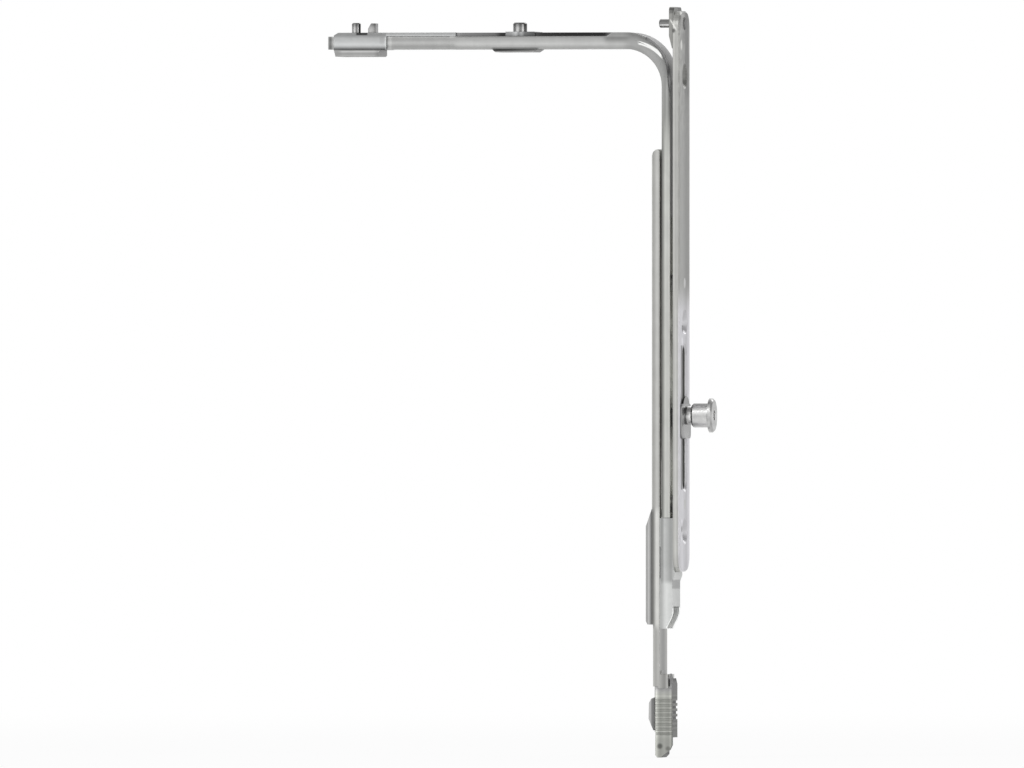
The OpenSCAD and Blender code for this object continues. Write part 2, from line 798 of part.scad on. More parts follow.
module coupling_block() {
    groove = rod_tongue_width + 0.04;
    color(zinc)
        difference() {
            union() {
                across(coupling_width)
                    polygon([[coupling_back, -coupling_top], [coupling_front, -coupling_top],
                        [coupling_front, coupling_bottom], [coupling_back, coupling_bottom]]);
                // Nose under the block, with one full-depth cheek
                nose_slice(-coupling_width / 2, coupling_width, coupling_back + 3.35);
                nose_slice(-coupling_width / 2, lug_thickness, coupling_front);
                // Lug above the block, in line with the cheek
                translate([0, (lug_thickness - coupling_width) / 2, 0])
                    across(lug_thickness)
                        polygon([[coupling_front - 0.66, -coupling_top - eps],
                            [coupling_front - 0.66, lug_height - coupling_top],
                            [coupling_front - 0.3, lug_height - coupling_top],
                            [coupling_front, lug_height - coupling_top - 1.2], [coupling_front, -coupling_top - eps]]);
            }
            // Groove that takes the drive rod's tongue
            translate([coupling_back - 1, -groove / 2, rod_end - 0.1])
                cube([1 + rod_front - coupling_back, groove, 40]);
            // Room for the rod's raised land
            translate([rod_front - 1, -land_width / 2 - 0.1, -coupling_top - eps])
                cube([1 + land_proud + 0.1, land_width + 0.2, 0.1]);
            // Flat that takes the clamp plate
            translate([coupling_front - clamp_thickness, lug_thickness - coupling_width / 2, coupling_bottom])
                cube([2, coupling_width, coupling_height + 1]);
            bar_x(-12, 2, coupling_rivet, coupling_rivet_high);
            bar_x(-12, 2, coupling_rivet, coupling_rivet_low);
            side_teeth(-1);
            side_teeth(1);
        }
}

// A slice of the coupling's nose, from the back to a given depth
module nose_slice(y, width, front) {
    translate([0, y + width / 2, 0])
        across(width)
            polygon([[coupling_back, coupling_bottom + eps], [front, coupling_bottom + eps],
                [front, coupling_bottom - nose_length * 0.38], [front - 0.7, coupling_bottom - nose_length * 0.62],
                [min(front - 0.7, coupling_back + 2.6), coupling_bottom - nose_length * 0.84],
                [coupling_back + 1.7, coupling_bottom - nose_length],
                [coupling_back + 0.6, coupling_bottom - nose_length],
                [coupling_back, coupling_bottom - nose_length * 0.88]]);
}

// Grooves across one side of the coupling
module side_teeth(side) {
    for (i = [0:coupling_teeth - 1])
        translate([coupling_back - 1, side * coupling_width / 2 - tooth_depth,
            -coupling_top - tooth_start - (i + 0.6) * tooth_pitch])
            cube([coupling_depth + 2, 2 * tooth_depth, tooth_pitch * 0.6]);
}

module coupling_clamp() {
    width = coupling_width - lug_thickness - 0.1;
    back = coupling_front - clamp_thickness;
    tip = 2.3 - coupling_top;
    color(zinc)
        difference() {
            translate([0, coupling_width / 2 - width / 2, 0])
                across(width)
                    polygon([[back, coupling_bottom], [coupling_front, coupling_bottom],
                        [coupling_front, tip - 1.6], [coupling_front - 0.4, tip], [back, tip - 0.3]]);
            // Four grooves across the front
            for (i = [0:3])
                translate([coupling_front - 0.4, -side_x, -coupling_top - 4.9 - i * 1.55])
                    cube([1, groove_width, 0.75]);
        }
}

module coupling_back_pad() {
    depth = 1.65;
    color(zinc)
        difference() {
            across(coupling_width - 0.2)
                polygon([[rod_tail_back, -coupling_top - 3.2], [rod_tail_back - 0.9, -coupling_top - 3.6],
                    [rod_tail_back - depth + 0.1, -coupling_top - 4.8], [rod_tail_back - depth, -coupling_top - 9.4],
                    [rod_tail_back - depth + 0.7, -coupling_top - 11.1],
                    [rod_tail_back - 0.3, -coupling_top - 12.7], [rod_tail_back, -coupling_top - 12.7]]);
            bar_x(-12, 2, coupling_rivet, coupling_rivet_high);
            bar_x(-12, 2, coupling_rivet, coupling_rivet_low);
        }
}

module coupling_rivets() {
    color(steel) {
        coupling_joint(coupling_rivet_high);
        coupling_joint(coupling_rivet_low);
    }
}

// A rivet through the back pad, the drive rod's tongue and the coupling block
module coupling_joint(z) {
    bar_x(rod_tail_back - 0.6, coupling_front - clamp_thickness, coupling_rivet, z);
}

module cam_pin() {
    color(steel)
        difference() {
            union() {
                cam_seat(0);
                bar_x(rod_front + 0.05, disc_x, shank_diameter, cam_z);
                bar_x(disc_x, waist_x, disc_diameter, cam_z);
                bar_x(waist_x - eps, roller_x - slide_gap, journal_diameter + 0.7, roller_z);
                bar_x(roller_x - 0.2, head_x + head_thickness, journal_diameter, roller_z);
            }
            // Adjusting socket in the end of the pin
            translate([head_x + head_thickness - 2, 0, roller_z])
                rotate([0, 90, 0])
                    cylinder(d = (socket_width - 1) / cos(30), h = 3, $fn = 6);
        }
}

module cam_roller() {
    chamfer = 0.5;
    color(steel)
        difference() {
            union() {
                bar_x(roller_x + chamfer, roller_x + roller_length - 0.2, roller_diameter, roller_z);
                translate([roller_x, 0, roller_z])
                    rotate([0, 90, 0])
                        cylinder(d1 = roller_diameter - 2 * chamfer, d2 = roller_diameter, h = chamfer);
                translate([roller_x + roller_length - 0.2, 0, roller_z])
                    rotate([0, 90, 0])
                        cylinder(d1 = roller_diameter, d2 = roller_diameter - 0.4, h = 0.2);
            }
            bar_x(roller_x - 1, roller_x + roller_length + 1, journal_diameter + 2 * roller_fit, roller_z);
        }
}

module cam_head() {
    color(steel)
        difference() {
            union() {
                bar_x(head_x, head_x + head_thickness - 0.5, head_diameter, roller_z);
                translate([head_x + head_thickness - 0.5, 0, roller_z])
                    rotate([0, 90, 0])
                        cylinder(d1 = head_diameter, d2 = head_diameter - 1, h = 0.5);
            }
            bar_x(head_x - 1, head_x + head_thickness + 1, journal_diameter, roller_z);
        }
}

module slider_block() {
    inner = channel_nose_width + 0.3;
    base = leg_bottom - 0.07;
    color(zinc)
        difference() {
            across(groove_width)
                polygon([[-slider_reach, base], [-slider_reach, leg_top - 0.8], [-slider_reach + 1.3, leg_top],
                    [slider_end, leg_top], [slider_end, base]]);
            translate([-slider_reach - 1, -inner / 2, leg_bottom - 1])
                cube([slider_length + 2, inner, wall_top + slide_gap - leg_bottom + 1]);
            // Pocket for the slide bar's tongue
            translate([slider_end - tongue_length, -land_width / 2 - 0.02, wall_top])
                cube([slider_length, land_width + 0.04, leg_top - 0.6 - wall_top]);
            stud_hole(outer_stud_reach, outer_stud - 0.4);
            stud_hole(hook_reach, hook_shank);
        }
}

// A hole for the shank of a stud
module stud_hole(reach, diameter) {
    translate([-reach, 0, wall_top - 1])
        cylinder(d = diameter, h = 5);
}

module slider_pad() {
    top = leg_bottom - 0.07;
    left = -slider_reach;
    right = left + slider_pad_length;
    color(steel)
        difference() {
            across(groove_width)
                polygon([[left, top], [left + 0.5, top - slider_pad], [right - 0.4, top - slider_pad],
                    [right, top - slider_pad + 0.4], [right, top]]);
            // Groove that lightens the lower face
            translate([left + 2, -side_x + 2, top - slider_pad - 1])
                cube([slider_pad_length - 4, groove_width - 4, 1.5]);
        }
}

module slide_bar() {
    lap = -bar_near - lap_length;
    base = wall_top + slide_gap;
    color(steel)
        difference() {
            union() {
                translate([slider_end, -side_x, base])
                    cube([bar_length, groove_width, leg_top - base]);
                translate([slider_end - tongue_length, -land_width / 2, base])
                    cube([tongue_length + eps, land_width, leg_top - 0.6 - base]);
            }
            stud_hole(outer_stud_reach, outer_stud - 0.4);
            stud_hole(hook_reach, hook_shank);
            // Pocket for the band's leaf, between two cheeks
            translate([lap, -band_width / 2 - 0.02, base - 1])
                cube([lap_length + 1, band_width + 0.04, leg_top - leaf_in - base + 1]);
            lap_hole(lap_rivet_far);
            lap_hole(lap_rivet_near);
            // Long relief in the top of the bar
            translate([slider_end + 3, -2.5, leg_top - 0.4])
                cube([lap - slider_end - 6, 5, 1]);
        }
}

// A hole for one rivet of the lap joint
module lap_hole(x) {
    translate([x, 0, wall_top])
        cylinder(d = lap_rivet, h = 5);
}

module slide_band() {
    base = leg_top - band_out;
    color(band_steel)
        difference() {
            union() {
                translate([-bar_near - lap_length + 0.02, -band_width / 2, base])
                    cube([bar_near + lap_length - slide_band_near, band_width, leaf_thickness]);
                translate([-bar_near + 0.05, -band_width / 2, base])
                    cube([bar_near - 0.05 - slide_band_near, band_width, band_thickness]);
            }
            lap_hole(lap_rivet_far);
            lap_hole(lap_rivet_near);
            translate([-guide_stud_reach, 0, wall_top])
                cylinder(d = stud_shank, h = 5);
        }
}

module slide_band_rivets() {
    color(steel) {
        lap_joint(lap_rivet_far);
        lap_joint(lap_rivet_near);
    }
}

// One rivet of the lap joint
module lap_joint(x) {
    translate([x, 0, leg_top - band_out])
        cylinder(d = lap_rivet, h = band_out);
}

module outer_stud_pin() {
    color(steel)
        translate([-outer_stud_reach, 0, 0]) {
            translate([0, 0, wall_top + slide_gap])
                cylinder(d = outer_stud - 0.4, h = leg_top - wall_top);
            translate([0, 0, leg_top])
                cylinder(d = outer_stud, h = stud_height - 0.3);
            translate([0, 0, leg_top + stud_height - 0.3])
                cylinder(d1 = outer_stud, d2 = outer_stud - 0.6, h = 0.3);
        }
}

module coupling_hook() {
    half = hook_length / 2;
    tip = leg_top + stud_height - 0.15;
    color(steel)
        translate([-hook_reach, 0, 0]) {
            translate([0, 0, wall_top + slide_gap])
                cylinder(d = hook_shank, h = leg_top - wall_top);
            across(hook_width)
                polygon([[-half, leg_top], [-half, tip - 1.5], [-half + 0.9, tip], [half, tip], [half, leg_top]]);
        }
}

module guide_stud_pin() {
    collar = leg_top + clip_proud;
    plate_low = leg_bottom - slide_gap - under_plate;
    color(steel)
        translate([-guide_stud_reach, 0, 0]) {
            translate([0, 0, plate_low])
                cylinder(d = stud_shank, h = collar - plate_low);
            translate([0, 0, collar])
                cylinder(d = guide_stud, h = leg_top + stud_height - collar - 0.4);
            translate([0, 0, leg_top + stud_height - 0.4])
                cylinder(d1 = guide_stud, d2 = guide_stud - 0.8, h = 0.4);
        }
}

module guide_stud_clip() {
    low = leg_top - band_out + 0.03;
    color(zinc)
        difference() {
            translate([clip_shift - guide_stud_reach - clip_length / 2, -side_x, low])
                cube([clip_length, groove_width, leg_top + clip_proud - low]);
            translate([-guide_stud_reach - clip_length, -band_width / 2 - 0.02, leg_top - band_in - 3])
                cube([2 * clip_length, band_width + 0.04, 3]);
            translate([-guide_stud_reach, 0, wall_top])
                cylinder(d = stud_shank, h = 5);
        }
}

module guide_stud_plate() {
    top = leg_bottom - slide_gap;
    half = under_plate_length / 2;
    color(steel)
        difference() {
            translate([-guide_stud_reach - under_plate_shift, 0, 0])
                across(channel_nose_width)
                    polygon([[-half, top], [half, top], [half - 1.3, top - under_plate],
                        [-half + 0.9, top - under_plate]]);
            translate([-guide_stud_reach, 0, top - 3])
                cylinder(d = stud_shank, h = 6);
        }
}

forend();
locating_plate();
locating_pin();
forend_rivets();
corner_channel();
channel_rivets();
corner_band();
rod_guide();
rod_guide_pad();
guide_rivet();
drive_rod();
rod_band();
rod_band_rivets();
coupling_block();
coupling_clamp();
coupling_back_pad();
coupling_rivets();
cam_pin();
cam_roller();
cam_head();
slider_block();
slider_pad();
slide_bar();
slide_band();
slide_band_rivets();
outer_stud_pin();
coupling_hook();
guide_stud_pin();
guide_stud_clip();
guide_stud_plate();
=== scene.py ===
# %% [markdown]
# A corner drive is the piece of window hardware that carries the push of a handle round the corner of a sash. A flat
# forend plate is screwed over a groove, a steel channel hangs behind it and turns the corner, and a drive rod, a spring
# band and a slider move in and on that channel. Almost every surface is zinc plated steel or a zinc die casting, so the
# work of this scene is in the finishes: satin grain, cloudy plating, cast skin and bright turned edges, with painted
# light and shade across each piece. The CAD pieces have their true shape and keep it. They could be modelled again
# here, but then two sets of sizes would have to agree, so they only get materials.

# %% Load the frame
from math import atan, cos, pi, radians, sin

import bmesh
import bpy
from mathutils import Matrix, Vector


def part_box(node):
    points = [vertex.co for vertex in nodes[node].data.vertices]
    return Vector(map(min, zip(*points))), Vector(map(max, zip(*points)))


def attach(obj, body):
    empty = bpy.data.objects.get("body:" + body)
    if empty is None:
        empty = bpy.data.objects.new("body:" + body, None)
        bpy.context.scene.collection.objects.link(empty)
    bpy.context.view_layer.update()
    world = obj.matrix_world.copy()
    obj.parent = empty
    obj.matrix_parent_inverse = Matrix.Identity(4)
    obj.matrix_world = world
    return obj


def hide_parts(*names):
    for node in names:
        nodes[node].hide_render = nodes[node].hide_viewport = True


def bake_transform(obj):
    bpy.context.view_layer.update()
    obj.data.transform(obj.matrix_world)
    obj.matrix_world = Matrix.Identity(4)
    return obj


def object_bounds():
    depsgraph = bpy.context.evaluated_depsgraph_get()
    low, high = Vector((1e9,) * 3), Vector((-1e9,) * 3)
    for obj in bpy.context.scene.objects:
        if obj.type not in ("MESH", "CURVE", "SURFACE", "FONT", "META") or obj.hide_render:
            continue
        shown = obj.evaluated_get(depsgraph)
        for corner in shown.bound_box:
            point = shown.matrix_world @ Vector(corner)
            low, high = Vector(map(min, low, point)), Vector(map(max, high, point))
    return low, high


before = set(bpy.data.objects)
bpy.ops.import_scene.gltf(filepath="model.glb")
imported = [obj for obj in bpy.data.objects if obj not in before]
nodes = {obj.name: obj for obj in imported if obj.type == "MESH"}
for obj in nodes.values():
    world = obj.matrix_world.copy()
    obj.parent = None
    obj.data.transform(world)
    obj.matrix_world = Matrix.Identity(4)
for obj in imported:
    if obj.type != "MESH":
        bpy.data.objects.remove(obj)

MM = 0.001
cad_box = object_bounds()
print("CAD box in mm:", [round(c / MM, 1) for corner in cad_box for c in corner])

# %% [markdown]
# The photograph looks at the groove side of the drive, a little from the front, with a long lens and level
# with the middle of the object. A short lens close by would spread the leg and the rod apart, so the camera
# stands eight metres away. Its aim is the point of the object that lies in the middle of the photograph.

# %% Camera
VIEW_TURN = radians(11)
VIEW_WIDTH = 296.8 * MM
VIEW_DISTANCE = 8.0
SENSOR = 36.0
aim = Vector((-48.9 * MM, 0, -89.2 * MM))
toward_camera = Vector((sin(VIEW_TURN), -cos(VIEW_TURN), 0))

camera_data = bpy.data.cameras.new("camera")
camera_data.sensor_width = SENSOR
camera_data.lens = SENSOR * VIEW_DISTANCE / VIEW_WIDTH
camera_data.clip_end = 50
camera = bpy.data.objects.new("camera", camera_data)
camera.location = aim + toward_camera * VIEW_DISTANCE
camera.rotation_euler = (-toward_camera).to_track_quat("-Z", "Y").to_euler()
bpy.context.collection.objects.link(camera)
bpy.context.scene.camera = camera
bpy.context.scene.view_settings.view_transform = "Standard"
print("lens in mm:", round(camera_data.lens))

# %% [markdown]
# A material in Blender is a net of nodes. Long chains of Math nodes are hard to read, so a small class wraps
# a socket and lets plain arithmetic add the nodes. One method makes any other node from its type, its
# settings and the values or links of its sockets.

# %% Node arithmetic


class Socket:
    """An output of a node that takes part in arithmetic."""

    def __init__(self, net, output):
        self.net = net
        self.output = output

    def math(self, operation, first, second=0.0):
        return self.net.node("ShaderNodeMath", {"operation": operation}, {0: first, 1: second})

    def __add__(self, other):
        return self.math("ADD", self, other)

    def __radd__(self, other):
        return self.math("ADD", other, self)

    def __sub__(self, other):
        return self.math("SUBTRACT", self, other)

    def __rsub__(self, other):
        return self.math("SUBTRACT", other, self)

    def __mul__(self, other):
        return self.math("MULTIPLY", self, other)

    def __rmul__(self, other):
        return self.math("MULTIPLY", other, self)

    def __truediv__(self, other):
        return self.math("DIVIDE", self, other)

    def __neg__(self):
        return self.math("SUBTRACT", 0.0, self)

    def highest(self, other):
        return self.math("MAXIMUM", self, other)

    def size(self):
        return self.math("ABSOLUTE", self)

    def ramp(self, start, end):
        """0 before start, 1 after end and a smooth rise between them."""
        settings = {"interpolation_type": "SMOOTHSTEP"}
        return self.net.node("ShaderNodeMapRange", settings, {"Value": self, "From Min": start, "From Max": end})

    def near(self, middle, half, soft):
        """1 within half of the middle, fading to 0 over the soft stretch."""
        return 1 - (self - middle).size().ramp(half, half + soft)

    def toward(self, other, share):
        """This value where the share is 0, the other where it is 1."""
        return self + (other - self) * share


def grey(level):
    """The linear value that a picture shows as this level of 255."""
    part = level / 255
    return part / 12.92 if part < 0.04045 else ((part + 0.055) / 1.055) ** 2.4


class Net:
    """The node tree of one material or world."""

    def __init__(self, owner):
        owner.use_nodes = True
        self.tree = owner.node_tree
        self.tree.nodes.clear()

    def node(self, kind, settings=None, sockets=None, output=0):
        made = self.tree.nodes.new(kind)
        for name, value in (settings or {}).items():
            if name == "stops":
                self.set_stops(made.color_ramp.elements, value)
            else:
                setattr(made, name, value)
        for name, value in (sockets or {}).items():
            if isinstance(value, Socket):
                self.tree.links.new(value.output, made.inputs[name])
            else:
                made.inputs[name].default_value = value
        return Socket(self, made.outputs[output]) if len(made.outputs) else None

    def set_stops(self, elements, stops):
        while len(elements) < len(stops):
            elements.new(1.0)
        for element, (place, value) in zip(elements, stops):
            element.position = place
            element.color = (value, value, value, 1)

    def mix(self, factor, first, second):
        """One colour changing to another as the factor goes from 0 to 1."""
        return self.node("ShaderNodeMix", {"data_type": "RGBA"}, {0: factor, 6: first, 7: second}, output=2)

    def shades(self, value, *stops):
        """The tone at each place along a value, given as picture levels."""
        start, end = stops[0][0], stops[-1][0]
        share = self.node("ShaderNodeMapRange", None, {"Value": value, "From Min": start, "From Max": end})
        spots = [((place - start) / (end - start), grey(level)) for place, level in stops]
        return self.node("ShaderNodeValToRGB", {"stops": spots}, {0: share})

    def tinted(self, tone, tint):
        """A colour from a tone and a tint."""
        return self.node("ShaderNodeVectorMath", {"operation": "SCALE"}, {0: tint, "Scale": tone})

    def parts(self, vector):
        split = self.node("ShaderNodeSeparateXYZ", None, {0: vector})
        outputs = split.output.node.outputs
        return [Socket(self, outputs[i]) for i in range(3)]


# %% [markdown]
# A finish starts from the place of a point in the shared frame. Every CAD piece has its object at the origin,
# so Object coordinates are that place in metres. Multiplied by a thousand they are millimetres, and a grain
# of 0.2 mm is then written as 0.2. Drawn strip has streaks along its length, so the noise is stretched that
# way, while cast metal has a fine even skin.

# %% Places, grain and edges


class Finish(Net):
    """A metal finish: its node tree, with the place of the point in mm."""

    def __init__(self, name):
        self.material = bpy.data.materials.new(name)
        super().__init__(self.material)
        self.place = self.node("ShaderNodeTexCoord", output=3)
        self.mm = self.node("ShaderNodeVectorMath", {"operation": "SCALE"}, {0: self.place, "Scale": 1 / MM})
        self.x, self.y, self.z = self.parts(self.mm)
        self.facing = self.node("ShaderNodeNewGeometry", output=3)
        face_x, face_y, face_z = self.parts(self.facing)
        self.side = face_y.size().ramp(0.5, 0.8)
        self.front = face_x.ramp(0.5, 0.8)
        self.above = face_z.ramp(0.4, 0.8)
        self.below = (-face_z).ramp(0.4, 0.8)

    def noise(self, lengths, detail=2.0, roughness=0.55):
        """Cloudy noise from 0 to 1 whose cells have these lengths in mm."""
        spread = self.node("ShaderNodeVectorMath", {"operation": "DIVIDE"}, {0: self.mm, 1: lengths})
        sockets = {"Vector": spread, "Scale": 1.0, "Detail": detail, "Roughness": roughness}
        return self.node("ShaderNodeTexNoise", None, sockets)

    def streaks(self, fine, length):
        """Rolling streaks, along X on the leg and along Z on the rest."""
        level = self.noise((length, fine, fine))
        upright = self.noise((fine, fine, length))
        return upright.toward(level, self.z.ramp(2, 6))

    def reach(self, across, rise):
        """How far a point is from the place where both values are 0."""
        arm = self.node("ShaderNodeCombineXYZ", None, {0: across, 2: rise})
        return self.node("ShaderNodeVectorMath", {"operation": "LENGTH"}, {0: arm}, output=1)

    def spot(self, across, rise, half, soft):
        """1 round the place where both values are 0, fading over the rim."""
        return 1 - self.reach(across, rise).ramp(half, half + soft)

    def metal(self, colour, roughness, height, edge=0.14, strength=0.5, depth=0.02):
        """Joins the parts of the finish to the shader, with soft edges."""
        rounded = self.node("ShaderNodeBevel", {"samples": 4}, {"Radius": edge * MM})
        bump = self.node("ShaderNodeBump", None, {"Strength": strength, "Distance": depth * MM, "Height": height,
                                                  "Normal": rounded})
        shader = self.node("ShaderNodeBsdfPrincipled", None, {"Base Color": colour, "Roughness": roughness,
                                                              "Metallic": 1.0, "Normal": bump})
        self.node("ShaderNodeOutputMaterial", None, {"Surface": shader})
        return self.material


# %% [markdown]
# Zinc plated strip is the main finish. Its colour wanders between a cool and a slightly green grey, and its roughness
# follows the rolling streaks. Strip that has been drawn or pressed is never quite flat, so light falls unevenly across
# it, and that light and shade is painted into its colour: a colour ramp along one coordinate paints light and dark
# lines along each piece, a few stops for each, and the clouds and streaks break them.

# %% Plated strip


def plated(finish, tone, tint, rough=0.36, dull=0.0, clouds=0.12, grain=0.08, depth=0.012):
    """Finishes a tone as plated strip, with clouds, streaks and scuffs."""
    cloud = finish.noise((2.6, 2.6, 4.5), detail=3.0)
    streak = finish.streaks(0.14, 9.0)
    scuff = finish.noise((0.5, 0.5, 0.9), detail=4.0)
    tone = tone * (1 + (cloud - 0.5) * (2 * clouds) + (streak - 0.5) * (2 * grain))
    roughness = rough - 0.06 + streak * 0.12 + scuff.ramp(0.55, 0.8) * 0.1 + dull
    return finish.metal(finish.tinted(tone, tint), roughness, streak * 0.7 + scuff * 0.3, depth=depth)


# %% Forend


def forend_strip(name):
    finish = Finish(name)
    x, y, z = finish.x, finish.y, finish.z
    lower = 1 - z.ramp(-70, -59)
    # Painted light and shade: ramps of tone across the side and the front, one above and one below.
    side_above = finish.shades(x, (-1.5, 156), (-0.8, 156), (-0.3, 134), (0, 158), (0.2, 197), (0.5, 193), (0.8, 179),
                               (1.2, 184), (1.7, 178), (2.05, 172))
    side_below = finish.shades(x, (-1.5, 150), (0, 150), (0.2, 182), (0.5, 192), (0.8, 203), (1.1, 192), (1.4, 178),
                               (1.7, 178), (2.05, 190))
    front_above = finish.shades(y, (-8, 146), (-4, 146), (-1, 134), (2.3, 115), (5.3, 120), (8, 140))
    front_below = finish.shades(y, (-8, 198), (-4, 204), (-1, 192), (2.3, 178), (5.3, 202), (8, 214))
    side = side_above.toward(side_below, lower)
    front = front_above.toward(front_below, lower)
    # Painted shade along the far edge of the front, toward the top.
    far_edge_shade = y.near(3.0, 2.0, 1.6) * z.ramp(-12, -2) * 0.5
    patches = finish.noise((2.0, 2.5, 3.2), detail=1.0).ramp(0.35, 0.65)
    front = front * (1 - far_edge_shade) * (1 + (patches - 0.5) * z.ramp(-40, 0) * 0.3)
    slot_shade = y.near(-4.8, 1.1, 0.5) * z.near(-98.9, 20.6, 0.5)
    front = front.toward(grey(84), slot_shade * 0.85)
    # Painted shade on the walls of the slot.
    slot_wall_shade = (1 - y.size().ramp(3.5, 3.9)) * z.near(-98.9, 21.0, 0.3)
    side = side.toward(grey(125), slot_wall_shade)
    # The remaining faces, the back among them, are painted light, so the gap between forend and channel shows light.
    tone = finish.shades(z, (-143, 220), (20, 215)).toward(side, finish.side).toward(front, finish.front)
    # Painted shade on the rounded top end.
    crown_shade = z.ramp(17.6, 18.6)
    tone = tone * (1 - crown_shade * 0.5)
    glint = (z + x * 1.23).near(14.7, 0.15, 0.45) * x.near(0.0, 0.9, 0.4) * finish.side
    tone = tone.toward(grey(226), glint * 0.85)
    dots = (finish.spot(x - 0.12, z - 13.0, 0.3, 0.6) * 0.85).highest(finish.spot(x - 1.9, z - 12.0, 0.1, 0.5) * 0.4)
    tone = tone.toward(grey(90), dots * finish.side)
    # Painted shade and painted highlights beside the screw holes and rivets on the front.
    dark = finish.spot(y + 3.5, z + 73, 0.5, 1.2).highest(finish.spot(y + 4.6, z + 131.2, 0.5, 0.8) * 0.8)
    dark = dark.highest(y.near(-0.5, 2.5, 2.0) * z.near(10.8, 1.0, 1.2) * 0.6)
    light = finish.spot(y + 4.0, z + 76.75, 0.5, 0.9).highest(finish.spot(y + 4.6, z + 133.9, 0.4, 0.8))
    light = light.highest(finish.spot(y + 4.6, z + 128.9, 0.3, 0.7)).highest(finish.spot(y + 5.2, z - 8.9, 0.9, 1.0) * 0.7)
    tone = tone.toward(grey(92), dark * finish.front).toward(grey(226), light * finish.front)
    tint = finish.mix(lower * finish.front, (1.0, 1.0, 0.96, 1), (1.0, 0.99, 1.04, 1))
    return plated(finish, tone, tint)


forend_finish = forend_strip("zinc_plated_forend")

# %% [markdown]
# The channel is pressed strip, and the light and shade painted on it follows its length: up the wall of the leg, round
# the bend and down the drop. Round the bend these painted lines are arcs about the bend's own centre. The floor under
# the band round the bend is painted bright, and a painted highlight lies in a crescent beside it.

# %% Channel
BEND_X = -14.15
BEND_Z = -0.35


def from_bend(finish):
    """The distance from the bend's centre, and 1 on faces turned away from it."""
    across = finish.x - BEND_X
    rise = finish.z - BEND_Z
    arm = finish.node("ShaderNodeCombineXYZ", None, {0: across, 2: rise})
    outward = finish.node("ShaderNodeVectorMath", {"operation": "DOT_PRODUCT"}, {0: arm, 1: finish.facing}, output=1)
    return finish.reach(across, rise), outward


def corner_shade(finish):
    """The dark wedge where the bend runs down beside the forend."""
    return finish.x.near(-1.35, 0.25, 0.8) * finish.z.near(2.2, 0.8, 2.6) * 0.85


def channel_strip(name):
    finish = Finish(name)
    x, z = finish.x, finish.z
    reach, outward = from_bend(finish)
    # Painted light and shade: ramps of tone up the wall of the leg, under the slide bar and on the bent part.
    wall = finish.shades(z, (7.8, 170), (8.3, 168), (8.8, 186), (9.3, 199), (9.8, 191), (10.4, 180), (11.0, 172),
                         (11.3, 152), (11.9, 134), (12.6, 140))
    under_bar = finish.shades(z, (7.8, 168), (8.6, 160), (8.9, 168), (9.3, 180), (9.7, 188), (10.1, 180), (10.5, 168),
                              (10.9, 170), (11.2, 180), (11.4, 198), (12.6, 192))
    bent = finish.shades(z, (7.8, 162), (8.4, 176), (9.2, 192), (9.8, 176), (10.4, 150), (11.0, 138), (11.6, 160),
                         (12.2, 150), (12.6, 170))
    leg = under_bar.toward(wall, x.ramp(-65.5, -63.5)).toward(bent, x.ramp(-21.5, -19.5))
    # A painted light line where the slider's bar ends at rest, and painted shade on the rounded left end.
    slider_end_light = x.near(-84.4, 0.5, 0.8)
    leg = leg * (1 + slider_end_light * 0.25) * (1 - (1 - x.ramp(-101.6, -100.0)) * 0.35)
    # Painted light and shade round the bend and down the drop.
    arc = finish.shades(reach, (8.4, 158), (8.9, 160), (9.4, 168), (10.0, 168), (10.7, 164), (11.3, 155), (11.9, 142),
                        (12.5, 130), (13.2, 140))
    drop_above = finish.shades(x, (-3.6, 168), (-3.1, 158), (-2.6, 152), (-2.1, 176), (-1.6, 140), (-1.2, 110))
    drop_below = finish.shades(x, (-3.6, 125), (-3.3, 132), (-3.0, 168), (-2.65, 204), (-2.1, 198), (-1.8, 195),
                               (-1.45, 206), (-1.2, 165))
    drop = drop_above.toward(drop_below, 1 - z.ramp(-26, -8))
    side = leg.toward(arc, x.ramp(-15.5, -12.0)).toward(drop, 1 - z.ramp(-5, 3))
    # A painted highlight in a crescent round the bend, and the painted shade of the corner.
    crescent_highlight = finish.reach(x + 13.0, z + 3.0).near(12.8, 0.35, 0.3) * x.near(-7.0, 3.0, 0.9) * z.ramp(3.6, 5.4)
    side = side.toward(grey(250), crescent_highlight).toward(grey(62), corner_shade(finish))
    # Painted shadow along the lower edge over the stud plate.
    shade_line = (1 - z.ramp(8.1, 8.4)) * x.near(-46.8, 6.2, 1.2)
    side = side.toward(grey(100), shade_line * 0.75)
    # Painted light on the front of the drop, on the floor under the band round the bend and in the hollow behind the
    # rod, where these lie in shade.
    tone = finish.shades(x, (-103, 175), (0, 178)).toward(0.9, finish.front * (1 - z.ramp(-14, -6)))
    bend_floor_light = outward.ramp(0.0, 3.0) * x.ramp(-17.0, -15.0) * z.ramp(-14, -6)
    tone = tone.toward(1.0, bend_floor_light.highest((1 - x.ramp(-3.6, -3.5)) * (1 - z.ramp(-20, -10)) * 0.6))
    tone = tone.toward(side, finish.side)
    tint = finish.mix(z.ramp(-20, 5), (0.99, 1.0, 0.95, 1), (0.995, 1.0, 0.985, 1))
    inner = (1 - x.ramp(-3.6, -3.5)) * (1 - z.ramp(-20, -10)) * (1 - finish.side) * 0.5
    return plated(finish, tone, tint, rough=0.34, dull=inner)


channel_finish = channel_strip("zinc_plated_channel")

# %% Drive rod


